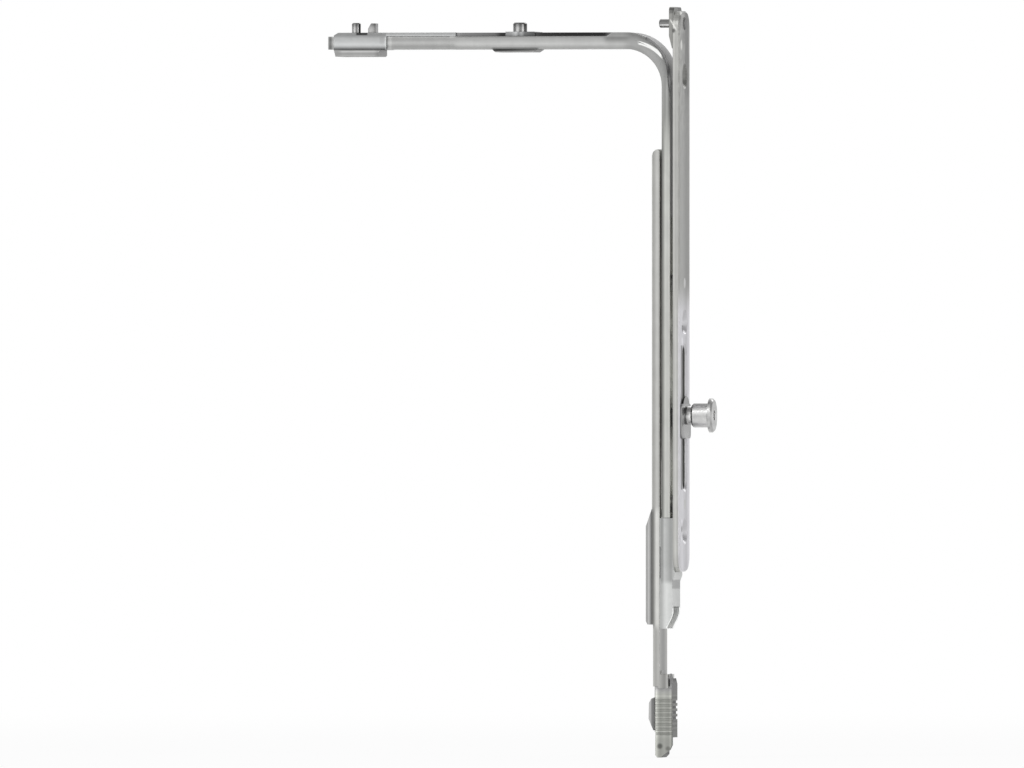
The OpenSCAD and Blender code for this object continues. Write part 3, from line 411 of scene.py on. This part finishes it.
def rod_strip(name):
    finish = Finish(name)
    x, z = finish.x, finish.z
    # Painted light and shade across the side: in the open, darker inside the guide, and below it.
    open_rod = finish.shades(x, (-6.5, 205), (-6.35, 184), (-6.1, 165), (-5.8, 172), (-5.5, 183), (-5.2, 193),
                             (-4.9, 197), (-4.6, 189), (-4.3, 168), (-4.0, 152))
    in_guide = finish.shades(x, (-6.5, 116), (-6.1, 128), (-5.8, 158), (-5.5, 196), (-5.1, 219), (-4.7, 213),
                             (-4.3, 200), (-4.0, 188))
    below = finish.shades(x, (-6.2, 196), (-5.6, 174), (-5.2, 173), (-4.8, 184), (-4.5, 183), (-4.0, 172), (-3.4, 157),
                          (-2.8, 144), (-2.5, 156), (-2.2, 178))
    side = below.toward(in_guide, z.ramp(-161, -158)).toward(open_rod, z.ramp(-127, -124))
    # Painted shade across the front below the guide; above it the front is painted light, so the gaps beside it show
    # light.
    front = finish.shades(finish.y, (-6, 155), (-4.4, 138), (-2.9, 128), (-1.3, 116), (0.2, 112), (1.7, 124), (3.2, 142),
                          (6, 165))
    front = front.toward(0.45, z.ramp(-160, -159)).toward(grey(185), x.ramp(-2.6, -2.4))
    tone = finish.shades(z, (-190, 170), (-20, 165)).toward(front, finish.front).toward(side, finish.side)
    inner = finish.front * z.ramp(-160, -159) * 0.5
    return plated(finish, tone, (1.0, 1.0, 0.965), rough=0.33, dull=inner)


rod_finish = rod_strip("zinc_plated_rod")

# %% Backing pads


def pad_strip(name):
    finish = Finish(name)
    x, z = finish.x, finish.z
    # Painted light and shade across the upright pads and up the level pad, with painted shade toward its right end.
    upright = finish.shades(x, (-8.3, 178), (-8.1, 170), (-7.85, 164), (-7.55, 194), (-7.25, 184), (-6.95, 144),
                            (-6.6, 120))
    level = finish.shades(z, (5.7, 185), (6.2, 165), (6.75, 160), (7.2, 202), (7.45, 165), (7.65, 118), (7.85, 96))
    level = level.toward(grey(152), (1 - x.ramp(-99.3, -97.6)) * 0.75)
    end = x.ramp(-88.8, -87.2) * 0.25
    side = upright.toward(level * (1 - end), z.ramp(0, 4))
    tone = finish.shades(z, (-200, 140), (8, 130)).toward(side, finish.side)
    return plated(finish, tone, (1.0, 1.0, 0.99), rough=0.4)


def stud_pad(name):
    finish = Finish(name)
    # Painted shadow along the plate, darkest at its left end under the channel, lighter at its lower edge.
    along = finish.shades(finish.x, (-53.8, 55), (-50, 76), (-45.6, 105), (-43.8, 117), (-40.3, 140))
    side = along.toward(grey(185), 1 - finish.z.ramp(6.85, 7.45))
    tone = finish.shades(finish.z, (6, 130), (8, 90)).toward(side, finish.side)
    return plated(finish, tone, (1.0, 1.0, 0.99), rough=0.4)


pad_finish = pad_strip("zinc_plated_pad")
stud_pad_finish = stud_pad("zinc_plated_stud_pad")

# %% [markdown]
# The casting skin of a zinc die casting is finer and duller than strip. It has no streaks: a speckled bump and small
# pores stand for the grain. Its light and dark lines are painted shade and painted highlights across the soft shoulders
# of the mould.

# %% Die castings


def cast(finish, tone, tint, rough=0.42, depth=0.02):
    """Finishes a tone as a die casting, with a speckled skin and pores."""
    cloud = finish.noise((2.4, 2.4, 2.4), detail=3.0)
    grain = finish.noise((0.12, 0.12, 0.12), detail=3.0)
    pores = finish.noise((0.35, 0.35, 0.35), detail=1.0).ramp(0.68, 0.78)
    tone = tone * (1 + (cloud - 0.5) * 0.2 + (grain - 0.5) * 0.12) * (1 - pores * 0.12)
    roughness = rough - 0.06 + grain * 0.14
    return finish.metal(finish.tinted(tone, tint), roughness, grain - pores * 0.8, edge=0.16, depth=depth)


# %% Rod guide


def guide_casting(name):
    finish = Finish(name)
    x, y, z = finish.x, finish.y, finish.z
    # Painted light and shade across the body and the tongue.
    body = finish.shades(x, (-4.1, 178), (-3.75, 156), (-3.4, 158), (-3.1, 180), (-2.8, 196), (-2.5, 192), (-2.2, 187),
                         (-1.65, 178), (-1.1, 164), (-0.75, 164), (-0.45, 178), (0.2, 190))
    tongue = finish.shades(x, (-4.3, 183), (-3.75, 181), (-3.4, 190), (-3.1, 202), (-2.8, 212), (-2.2, 222),
                           (-1.65, 216), (-1.0, 211), (0.2, 205))
    low = 1 - z.ramp(-147.6, -145.6)
    side = body.toward(tongue, low)
    front = finish.shades(y, (-6, 208), (0, 198), (6, 194))
    # Painted shadow under the lower end of the forend.
    forend_shadow = x.ramp(-0.7, -0.3) * z.near(-147.2, 0.9, 0.7) * 0.75
    side = side.toward(grey(120), forend_shadow)
    front = front.toward(grey(110), forend_shadow)
    # The pocket, the hollow beside the rod and the far inner wall are painted light, where they lie in shade.
    pocket_light = (1 - z.ramp(-154.1, -153.9)) * x.ramp(-3.4, -3.2)
    tone = finish.shades(z, (-160, 205), (-128, 190)).toward(front, finish.front)
    tone = tone.toward(side, finish.side).toward(1.0, pocket_light.highest(1 - x.ramp(-3.6, -3.5)) * (1 - finish.side))
    tone = tone.toward(1.0, (1 - z.ramp(-154.1, -153.9)) * y.near(4.4, 0.2, 0.3))
    return cast(finish, tone, (0.985, 1.0, 0.985))


guide_finish = guide_casting("die_cast_guide")

# %% Coupling


def coupling_casting(name):
    finish = Finish(name)
    x, y, z = finish.x, finish.y, finish.z
    # Painted light and shade across the ribbed part and the land.
    ribbed = finish.shades(x, (-5.9, 192), (-5.6, 234), (-5.3, 214), (-4.95, 190), (-4.4, 170), (-3.8, 177), (-3.2, 184),
                           (-2.6, 174), (-2.0, 170), (-1.7, 178), (-1.4, 196), (-1.1, 168), (-0.9, 145))
    land = finish.shades(x, (-5.9, 175), (-5.4, 170), (-4.9, 162), (-4.2, 158), (-3.4, 168), (-2.6, 184), (-2.0, 176),
                         (-1.4, 164), (-0.9, 140))
    side = ribbed.toward(land, z.ramp(-178.6, -176.0))
    # Painted shade on the floors of the grooves.
    side = side * (1 - (1 - y.size().ramp(3.9, 4.1)) * 0.34)
    # Painted light and dark lines at the tooth pitch on the ribs, and a painted highlight along their top.
    wave = finish.node("ShaderNodeMath", {"operation": "SINE"}, {0: z * (2 * pi / TOOTH) + 0.6})
    ribs = z.near(-184.3, 5.0, 0.6)
    lines = finish.noise((6.0, 6.0, 0.55), detail=2.0)
    calm = finish.node("ShaderNodeMath", {"operation": "SINE"}, {0: z * (2 * pi / TOOTH) - 1.6})
    side = side * (1 - calm * 0.14 * ribs) * (1 + (lines - 0.5) * 0.3 * ribs) * (1 + z.near(-176.6, 0.3, 0.3) * 0.25)
    # The nose is darker, and two small dark spots lie on it.
    nose = 1 - z.ramp(-192.4, -190.0)
    side = side * (1 - nose * 0.2)
    nose_spots = (finish.spot(x + 4.5, z + 194.0, 0.35, 0.8) * 0.7).highest(finish.spot(x + 2.1, z + 194.7, 0.3, 0.7) * 0.45)
    side = side.toward(grey(60), nose_spots)
    # Painted shade on the front behind its front edge, with painted light lines at the tooth pitch.
    front = grey(104) * (0.35 + x.ramp(-1.2, -0.95) * 0.65) * (1 + wave * ribs * 0.3)
    tone = finish.shades(z, (-197, 140), (-176, 160)).toward(side, finish.side).toward(front, finish.front)
    olive = finish.tinted(tone, (0.985, 1.0, 0.93))
    plain = finish.tinted(tone, (1.0, 1.0, 1.0))
    grain = finish.noise((0.12, 0.12, 0.12), detail=3.0)
    colour = finish.mix(z.ramp(-179.5, -177.0), olive, plain)
    return finish.metal(colour, 0.38 + grain * 0.14, grain, edge=0.14)


TOOTH = 1.36
coupling_finish = coupling_casting("die_cast_coupling")

# %% Slider


def slider_casting(name):
    finish = Finish(name)
    x, z = finish.x, finish.z
    # Painted light and shade up the block and up the bar.
    block = finish.shades(z, (7.75, 84), (8.0, 112), (8.3, 150), (8.6, 182), (9.1, 206), (9.5, 205), (9.9, 196),
                          (10.5, 187), (11.0, 182), (11.6, 158), (11.95, 146), (12.6, 152))
    bar = finish.shades(z, (11.55, 215), (11.8, 190), (12.1, 176), (12.4, 168), (12.7, 172))
    side = block.toward(bar, x.ramp(-85.2, -84.8))
    # A painted shade line near the end of the bar, and a painted light line along the joint.
    shade_line = x.near(-86.2, 0.3, 0.7) * z.near(10.4, 0.7, 0.8) * 0.14
    side = side * (1 - shade_line) * (1 + x.near(-85.0, 0.15, 0.3) * (1 - z.ramp(11.2, 11.5)) * 0.12)
    tone = finish.shades(x, (-103, 150), (-36, 165)).toward(side, finish.side)
    # Painted shade at the feet of the studs.
    foot = x.near(-92.1, 1.4, 0.5) * z.ramp(11.75, 12.1)
    tone = tone.toward(grey(44), foot * 0.9)
    return cast(finish, tone, (0.985, 1.0, 1.0), rough=0.38)


def clip_casting(name):
    finish = Finish(name)
    # Painted shade, darker toward the right end and toward the lower edge.
    along = finish.shades(finish.x, (-49.6, 150), (-48, 160), (-46.6, 200), (-45.8, 148), (-44.9, 176), (-44, 120),
                          (-42.5, 106), (-41, 96))
    side = along * (0.78 + finish.z.ramp(11.9, 12.6) * 0.24)
    tone = finish.shades(finish.z, (11, 150), (13, 165)).toward(side, finish.side)
    return cast(finish, tone, (0.985, 1.0, 1.0), rough=0.36)


slider_finish = slider_casting("die_cast_slider")
clip_finish = clip_casting("die_cast_clip")

# %% [markdown]
# Pins, rollers and rivets are turned or headed. Their marks run round their own axis, which is level for the pieces on
# the forend and upright for the studs on the leg. A turned part mirrors its whole surroundings on its round side, so
# part of its light and dark bars come from the studio. The finishes add the marks and paint the rest of the bars:
# painted reflections along the studs, the cam and the pin, and painted shade on the rims and feet of the studs.

# %% Turned steel


def turned(finish, tone, rough=0.24):
    """Finishes a tone as turned steel, with fine rings."""
    marks = finish.noise((0.09, 0.5, 0.5), detail=2.0)
    rings = finish.noise((0.6, 0.6, 0.12), detail=2.0)
    mark = marks.toward(rings, finish.z.ramp(2, 6))
    cloud = finish.noise((1.5, 1.5, 1.5), detail=2.0)
    tone = tone * (1 + (cloud - 0.5) * 0.3 + (mark - 0.5) * 0.12)
    colour = finish.tinted(tone, (1.0, 1.0, 0.99))
    return finish.metal(colour, rough - 0.04 + mark * 0.1, mark, edge=0.12, depth=0.01)


def stud_steel(name, *along):
    """A stud with painted shade on its rim and foot and painted light and dark bars along X."""
    finish = Finish(name)
    upright = finish.shades(finish.z, (12.4, 165), (13.2, 200), (14.1, 188), (14.8, 150), (15.2, 132), (15.6, 165))
    return turned(finish, upright * finish.shades(finish.x, *along) * 1.6, rough=0.22)


def cam_steel(name):
    finish = Finish(name)
    x, y, z = finish.x, finish.y, finish.z + 98.3
    # Painted reflections in bands round the disc, the waist, the roller and the head, with painted shade above the disc
    # in the slot.
    disc = finish.shades(z, (-6.8, 130), (-5.4, 132), (-4.2, 114), (-1.9, 110), (-0.8, 150), (-0.2, 165), (0.4, 144),
                         (1.0, 112), (1.8, 102), (3.2, 116), (3.45, 75), (5.0, 85), (5.6, 120))
    waist = finish.shades(z, (-2.5, 200), (-1.9, 243), (-1.3, 238), (-0.8, 247), (-0.2, 252), (0.4, 232), (1.0, 196),
                          (1.6, 220), (2.1, 243))
    roller = finish.shades(z, (-3.1, 184), (-2.5, 218), (-1.9, 205), (-1.3, 211), (-0.2, 194), (0.4, 212), (1.0, 227),
                           (1.55, 248), (2.1, 255), (2.7, 229), (3.3, 138))
    head = finish.shades(z, (-5.0, 186), (-3.7, 185), (-2.5, 193), (-1.9, 193), (-1.35, 180), (-0.2, 194), (0.4, 197),
                         (1.0, 212), (1.5, 217), (2.1, 236), (2.7, 226), (3.3, 204), (3.9, 206), (5.0, 180))
    face = finish.shades(z, (-5.0, 158), (-3.6, 172), (-2.4, 150), (-1.0, 178), (0.3, 186), (1.4, 162), (2.2, 152),
                         (3.2, 160), (4.2, 146), (5.0, 156))
    tone = disc.toward(waist, x.ramp(2.95, 3.05)).toward(roller, x.ramp(4.2, 4.4)).toward(head, x.ramp(9.35, 9.45))
    tone = tone.toward(face, finish.front * x.ramp(9.5, 10.0))
    # The socket in the head is painted light where it lies in shade.
    bore_light = (1 - y.size().ramp(2.1, 2.3)) * (1 - z.size().ramp(2.6, 2.8)) * x.ramp(5.0, 5.2) * (1 - finish.front)
    return turned(finish, tone.toward(1.0, bore_light), rough=0.24)


def pin_steel(name):
    finish = Finish(name)
    # Painted highlights and painted shade along the shank, and a darker grey at its end in front of the forend.
    shank = finish.shades(finish.z, (13.2, 200), (14.2, 195), (14.4, 250), (14.7, 255), (14.85, 225), (15.1, 136),
                          (15.4, 121), (15.7, 117), (16.0, 130), (16.3, 188), (17.2, 200))
    return turned(finish, shank.toward(grey(116), finish.x.ramp(1.5, 2.0)), rough=0.5)


def washer_steel(name):
    """The slot washer: a painted highlight at its near edge and painted shade beyond."""
    finish = Finish(name)
    z = finish.z
    near = finish.shades(z, (-104.9, 100), (-104.3, 122), (-102.0, 140), (-100.8, 122), (-98.5, 150), (-96.75, 126),
                         (-95.6, 150), (-95.0, 126))
    far = finish.shades(z, (-104.9, 140), (-103.7, 132), (-102.5, 114), (-100.2, 110), (-99.1, 150), (-98.5, 165),
                        (-97.9, 144), (-97.3, 112), (-96.5, 102), (-95.0, 116))
    front = near.toward(far, finish.y.ramp(-4.8, -2.2))
    edge = finish.shades(z, (-105, 150), (-95, 158))
    return turned(finish, edge.toward(front, finish.front), rough=0.3)


pin_finish = pin_steel("turned_pin")
cam_finish = cam_steel("turned_cam")
washer_finish = washer_steel("turned_washer")
outer_stud_finish = stud_steel("turned_outer_stud", (-96.2, 170), (-95.5, 210), (-94.9, 190), (-94.4, 160),
                               (-93.9, 110), (-93.6, 90))
hook_finish = stud_steel("pressed_hook", (-91.1, 180), (-90.3, 205), (-89.6, 190), (-89.1, 160), (-88.8, 100))
guide_stud_finish = stud_steel("turned_guide_stud", (-48.6, 170), (-47.6, 180), (-46.6, 190), (-45.6, 160),
                               (-44.9, 130), (-44.4, 110))
rivet_finish = turned(Finish("rivet_steel"), grey(176), rough=0.32)

# %% [markdown]
# The spring band is hardened dark steel. On the leg, where it lies between the walls, it is nearly black, partly its
# own dark colour and partly painted shade. Its thin outer end over the slide bar is a lighter grey, and round the bend
# its grey is a painted reflection, with painted light on its underside and the painted shade of the corner.

# %% Spring steel


def spring_steel(name):
    finish = Finish(name)
    x, z = finish.x, finish.z
    reach, outward = from_bend(finish)
    streaks = finish.streaks(0.12, 12.0)
    # Painted tone along the band: nearly black on the leg, partly its own colour and partly painted shade, lighter at
    # its outer end, and a painted reflection round the bend, with the painted shade of the corner.
    along = finish.shades(x, (-72, 150), (-64.2, 150), (-62.5, 132), (-58, 122), (-53, 112), (-51.2, 60), (-49, 50),
                          (-41, 84), (-39, 58), (-30, 48), (-20.6, 48), (-18.5, 120), (0, 120))
    edge = finish.shades(reach, (11.9, 152), (12.5, 140), (13.0, 128))
    side = along.toward(edge, x.ramp(-16.5, -14.0)).toward(grey(62), corner_shade(finish))
    face = finish.shades(x, (-72, 110), (-64, 100), (-52, 40), (-21, 40), (-17, 104), (-1, 112))
    # The underside round the bend is painted light, where it lies in shade.
    under = (-outward).ramp(0.0, 3.0) * x.ramp(-17.0, -15.0)
    tone = face.toward(0.95, under).toward(side, finish.side)
    tone = tone * (0.86 + streaks * 0.28)
    colour = finish.tinted(tone, (1.0, 1.0, 1.005))
    return finish.metal(colour, 0.3 + streaks * 0.12, streaks, edge=0.08, depth=0.01)


band_finish = spring_steel("spring_steel")

# %% Give the CAD pieces their finishes


def dress(finish, *names):
    """Puts a finish in every material slot of these CAD pieces."""
    for name in names:
        piece = nodes[name]
        if not piece.material_slots:
            piece.data.materials.append(finish)
        for place in piece.material_slots:
            place.material = finish


dress(forend_finish, "forend", "locating_plate", "forend_rivets")
dress(channel_finish, "corner_channel")
dress(rod_finish, "drive_rod", "rod_band")
dress(pad_finish, "rod_guide_pad", "slider_pad", "coupling_back_pad")
dress(stud_pad_finish, "guide_stud_plate")
dress(guide_finish, "rod_guide")
dress(coupling_finish, "coupling_block", "coupling_clamp")
dress(slider_finish, "slider_block", "slide_bar")
dress(clip_finish, "guide_stud_clip")
dress(pin_finish, "locating_pin")
dress(cam_finish, "cam_pin", "cam_roller", "cam_head")
dress(outer_stud_finish, "outer_stud_pin")
dress(hook_finish, "coupling_hook")
dress(guide_stud_finish, "guide_stud_pin")
dress(rivet_finish, "channel_rivets", "guide_rivet", "rod_band_rivets", "coupling_rivets",
      "slide_band_rivets")
dress(band_finish, "corner_band", "slide_band")
print("pieces with a finish:", len(nodes))

# %% [markdown]
# The real spring band is one strip that runs from the slider round the bend to the drive rod. A rigid model has to cut
# it where it bends, so this piece joins it again: one strip that lies where the two CAD bands lie, along the leg, round
# the bend and down the drop.

# %% Spring band
slide_low, slide_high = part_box("slide_band")
bend_low, bend_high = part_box("corner_band")
stud_low, stud_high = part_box("guide_stud_clip")
BAND_STEP = -64.3 * MM
BAND_EDGE = 0.15 * MM
BEND_STEPS = 24
LEAF = 0.6 * MM
band_under = slide_low.z
band_over = slide_high.z
band_side = slide_high.y
band_front = bend_high.x
thick = band_over - band_under
bend_outer = 12.95 * MM
bend_middle = Vector((band_front - bend_outer, 0, band_over - bend_outer))


def band_strip():
    """The strip as one mesh: straight leg, bend and straight drop."""
    strip = bmesh.new()
    ring = [strip.verts.new((slide_low.x, side * band_side, height))
            for side, height in ((-1, band_under), (1, band_under), (1, band_under + LEAF), (-1, band_under + LEAF))]
    edges = [strip.edges.new((ring[i], ring[(i + 1) % 4])) for i in range(4)]
    strip.faces.new(ring)

    def carry_on(offset, top=0.0):
        """Extrudes the open end by an offset and raises its upper edge."""
        nonlocal edges
        made = bmesh.ops.extrude_edge_only(strip, edges=edges)["geom"]
        points = [g for g in made if isinstance(g, bmesh.types.BMVert)]
        bmesh.ops.translate(strip, verts=points, vec=offset)
        for point in points:
            if point.co.z > band_under + LEAF / 2:
                point.co.z += top
        edges = [g for g in made if isinstance(g, bmesh.types.BMEdge)]
        edges = [e for e in edges if all(v in points for v in e.verts)]

    carry_on((BAND_STEP - slide_low.x, 0, 0))
    carry_on((0.05 * MM, 0, 0), thick - LEAF)
    carry_on((stud_high.x - BAND_STEP, 0, 0))
    carry_on((bend_middle.x - stud_high.x - 0.05 * MM, 0, 0))
    turn = bmesh.ops.spin(strip, geom=edges, cent=bend_middle, axis=(0, 1, 0), angle=pi / 2, steps=BEND_STEPS)
    end = [g for g in turn["geom_last"] if isinstance(g, bmesh.types.BMEdge)]
    made = bmesh.ops.extrude_edge_only(strip, edges=end)["geom"]
    points = [g for g in made if isinstance(g, bmesh.types.BMVert)]
    bmesh.ops.translate(strip, verts=points, vec=(0, 0, bend_low.z - bend_middle.z))
    bmesh.ops.remove_doubles(strip, verts=strip.verts, dist=1e-6)
    bmesh.ops.holes_fill(strip, edges=[e for e in strip.edges if e.is_boundary])
    bmesh.ops.recalc_face_normals(strip, faces=strip.faces)
    return strip


def finished(name, shape, finish):
    """A bmesh made into a piece with its finish."""
    mesh = bpy.data.meshes.new(name)
    shape.to_mesh(mesh)
    shape.free()
    piece = bpy.data.objects.new(name, mesh)
    bpy.context.collection.objects.link(piece)
    mesh.materials.append(finish)
    return piece


spring_band = finished("spring_band", band_strip(), band_finish)
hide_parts("slide_band", "corner_band")
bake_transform(spring_band)
print("spring band, points:", len(spring_band.data.vertices))

# %% Small covers


def cheeks():
    """Two thin leaves that close the slit between band and wall."""
    shape = bmesh.new()
    edges = []
    for side in (-1, 1):
        ring = [shape.verts.new((bend_middle.x + reach * MM, side * depth * MM, bend_middle.z))
                for reach, depth in ((10.9, 5.3), (12.28, 5.3), (12.28, 6.02), (10.9, 6.02))]
        edges += [shape.edges.new((ring[i], ring[(i + 1) % 4])) for i in range(4)]
    bmesh.ops.spin(shape, geom=edges, cent=bend_middle, axis=(0, 1, 0), angle=-radians(82), steps=BEND_STEPS)
    bmesh.ops.holes_fill(shape, edges=[e for e in shape.edges if e.is_boundary])
    bmesh.ops.recalc_face_normals(shape, faces=shape.faces)
    return shape


def block(low, high, edge=0.0):
    """A box between two corners in mm, with rounded edges along X."""
    low, high = Vector(low) * MM, Vector(high) * MM
    shape = bmesh.new()
    bmesh.ops.create_cube(shape, size=1.0)
    bmesh.ops.scale(shape, verts=shape.verts, vec=high - low)
    bmesh.ops.translate(shape, verts=shape.verts, vec=(low + high) / 2)
    if edge:
        upright = [e for e in shape.edges if abs(e.verts[0].co.x - e.verts[1].co.x) > 0.1 * MM]
        bmesh.ops.bevel(shape, geom=upright, offset=edge * MM, segments=6, affect="EDGES", profile=0.5, material=-1)
    return shape


covers = [
    ("bend_cheeks", cheeks(), channel_finish, "zinc_plated_steel", "housing"),
    ("guide_lip", block((-4.02, -5.98, -146.0), (-3.7, -3.0, -135.0)), guide_finish, "die_casting", "housing"),
    ("clamp_web", block((-4.6, -5.97, -177.3), (-1.8, 4.0, -173.2)), rod_finish, "zinc_plated_steel", "rod"),
    ("slot_washer", block((2.07, -7.0, -104.95), (2.55, 7.0, -94.95), 1.5), washer_finish, "turned_steel", "rod"),
]
for name, shape, finish, slot, body in covers:
    piece = finished(name, shape, finish)
    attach(piece, body)
print("covers:", [cover[0] for cover in covers])

# %% [markdown]
# A product on white needs a floor and a background that stay white without washing out the metal. Both give
# their own white to the camera and to mirror reflections, and stay a plain pale grey for the soft light. The
# floor's white grows with the distance, so it runs into the background with no horizon, and near the object
# a part of the real shaded floor is left in, which keeps the shadow.

# %% Floor
FLOOR_SIZE = 12.0
floor_mesh = bpy.data.meshes.new("floor")
floor_shape = bmesh.new()
bmesh.ops.create_grid(floor_shape, x_segments=1, y_segments=1, size=FLOOR_SIZE / 2)
bmesh.ops.translate(floor_shape, verts=floor_shape.verts, vec=(0, 0, cad_box[0].z))
floor_shape.to_mesh(floor_mesh)
floor_shape.free()
floor = bpy.data.objects.new("floor", floor_mesh)
bpy.context.collection.objects.link(floor)


def ray_kinds(net):
    """1 for camera rays, and 1 for camera, mirror and see-through rays."""
    path = net.node("ShaderNodeLightPath").output.node.outputs
    camera_ray = Socket(net, path["Is Camera Ray"])
    mirror_ray = Socket(net, path["Is Glossy Ray"])
    clear_ray = Socket(net, path["Is Transmission Ray"])
    return camera_ray, camera_ray.highest(mirror_ray).highest(clear_ray)


paper = bpy.data.materials.new("floor_paper")
net = Net(paper)
spot = net.node("ShaderNodeTexCoord", output=3)
speckle = net.node("ShaderNodeTexNoise", None, {"Vector": spot, "Scale": 400.0})
distance = net.node("ShaderNodeVectorMath", {"operation": "LENGTH"}, {0: spot}, output=1)
camera_ray, seen = ray_kinds(net)
matt = net.node("ShaderNodeBsdfDiffuse", None, {"Color": net.tinted(0.86 + speckle * 0.06, (1, 1, 1))})
glow = net.node("ShaderNodeEmission", None, {"Color": (1, 1, 1, 1), "Strength": 1.0})
sheet = net.node("ShaderNodeMixShader", None, {0: seen * (0.88 + distance.ramp(0.25, 1.2) * 0.12), 1: matt, 2: glow})
net.node("ShaderNodeOutputMaterial", None, {"Surface": sheet})
floor_mesh.materials.append(paper)

# %% [markdown]
# Metal shows its surroundings, and one even white room would make it look like grey plastic. So what mirror
# rays find has the layout of a small studio: white paper behind the object, two tall soft panels left and
# right of the camera, and a dimmer room between, beside and above them. The camera itself sees only white.

# %% Studio
world = bpy.data.worlds.new("studio")
bpy.context.scene.world = world
net = Net(world)
direction = net.node("ShaderNodeTexCoord", output=0)
to_right = Vector((cos(VIEW_TURN), sin(VIEW_TURN), 0))
along = net.node("ShaderNodeVectorMath", {"operation": "DOT_PRODUCT"}, {0: direction, 1: toward_camera}, output=1)
across = net.node("ShaderNodeVectorMath", {"operation": "DOT_PRODUCT"}, {0: direction, 1: to_right}, output=1)
rise = net.parts(direction)[2]
turn = net.node("ShaderNodeMath", {"operation": "ARCTAN2"}, {0: across, 1: along}).size()
panels = turn.near(0.78, 0.30, 0.2) * rise.near(0.1, 0.5, 0.3)
paper_behind = turn.ramp(2.0, 2.5)
room = (0.50 + panels * 0.95).toward(1.0, paper_behind)
room = room.toward(0.5, rise.ramp(0.6, 0.85))
camera_ray, seen = ray_kinds(net)
view = net.tinted(room.toward(1.0, camera_ray), (1.0, 1.0, 1.0))
soft = net.node("ShaderNodeBackground", None, {"Color": (0.62, 0.62, 0.63, 1), "Strength": 1.0})
studio = net.node("ShaderNodeBackground", None, {"Color": view, "Strength": 1.0})
sky = net.node("ShaderNodeMixShader", None, {0: seen, 1: soft, 2: studio})
net.node("ShaderNodeOutputWorld", None, {"Surface": sky})

# %% Lamps


def softbox(name, place, width, height, power):
    """A square lamp aimed at the middle of the object."""
    lamp = bpy.data.lights.new(name, "AREA")
    lamp.shape = "RECTANGLE"
    lamp.size = width
    lamp.size_y = height
    lamp.energy = power
    box = bpy.data.objects.new(name, lamp)
    box.location = Vector(place)
    box.rotation_euler = (aim - box.location).to_track_quat("-Z", "Y").to_euler()
    bpy.context.collection.objects.link(box)


softbox("key_lamp", (-1.3, -1.5, 1.2), 1.0, 1.0, 14)
softbox("fill_lamp", (1.6, -1.0, 0.4), 0.6, 1.4, 7)
softbox("back_lamp", (0.6, 1.8, 1.4), 1.2, 0.8, 8)
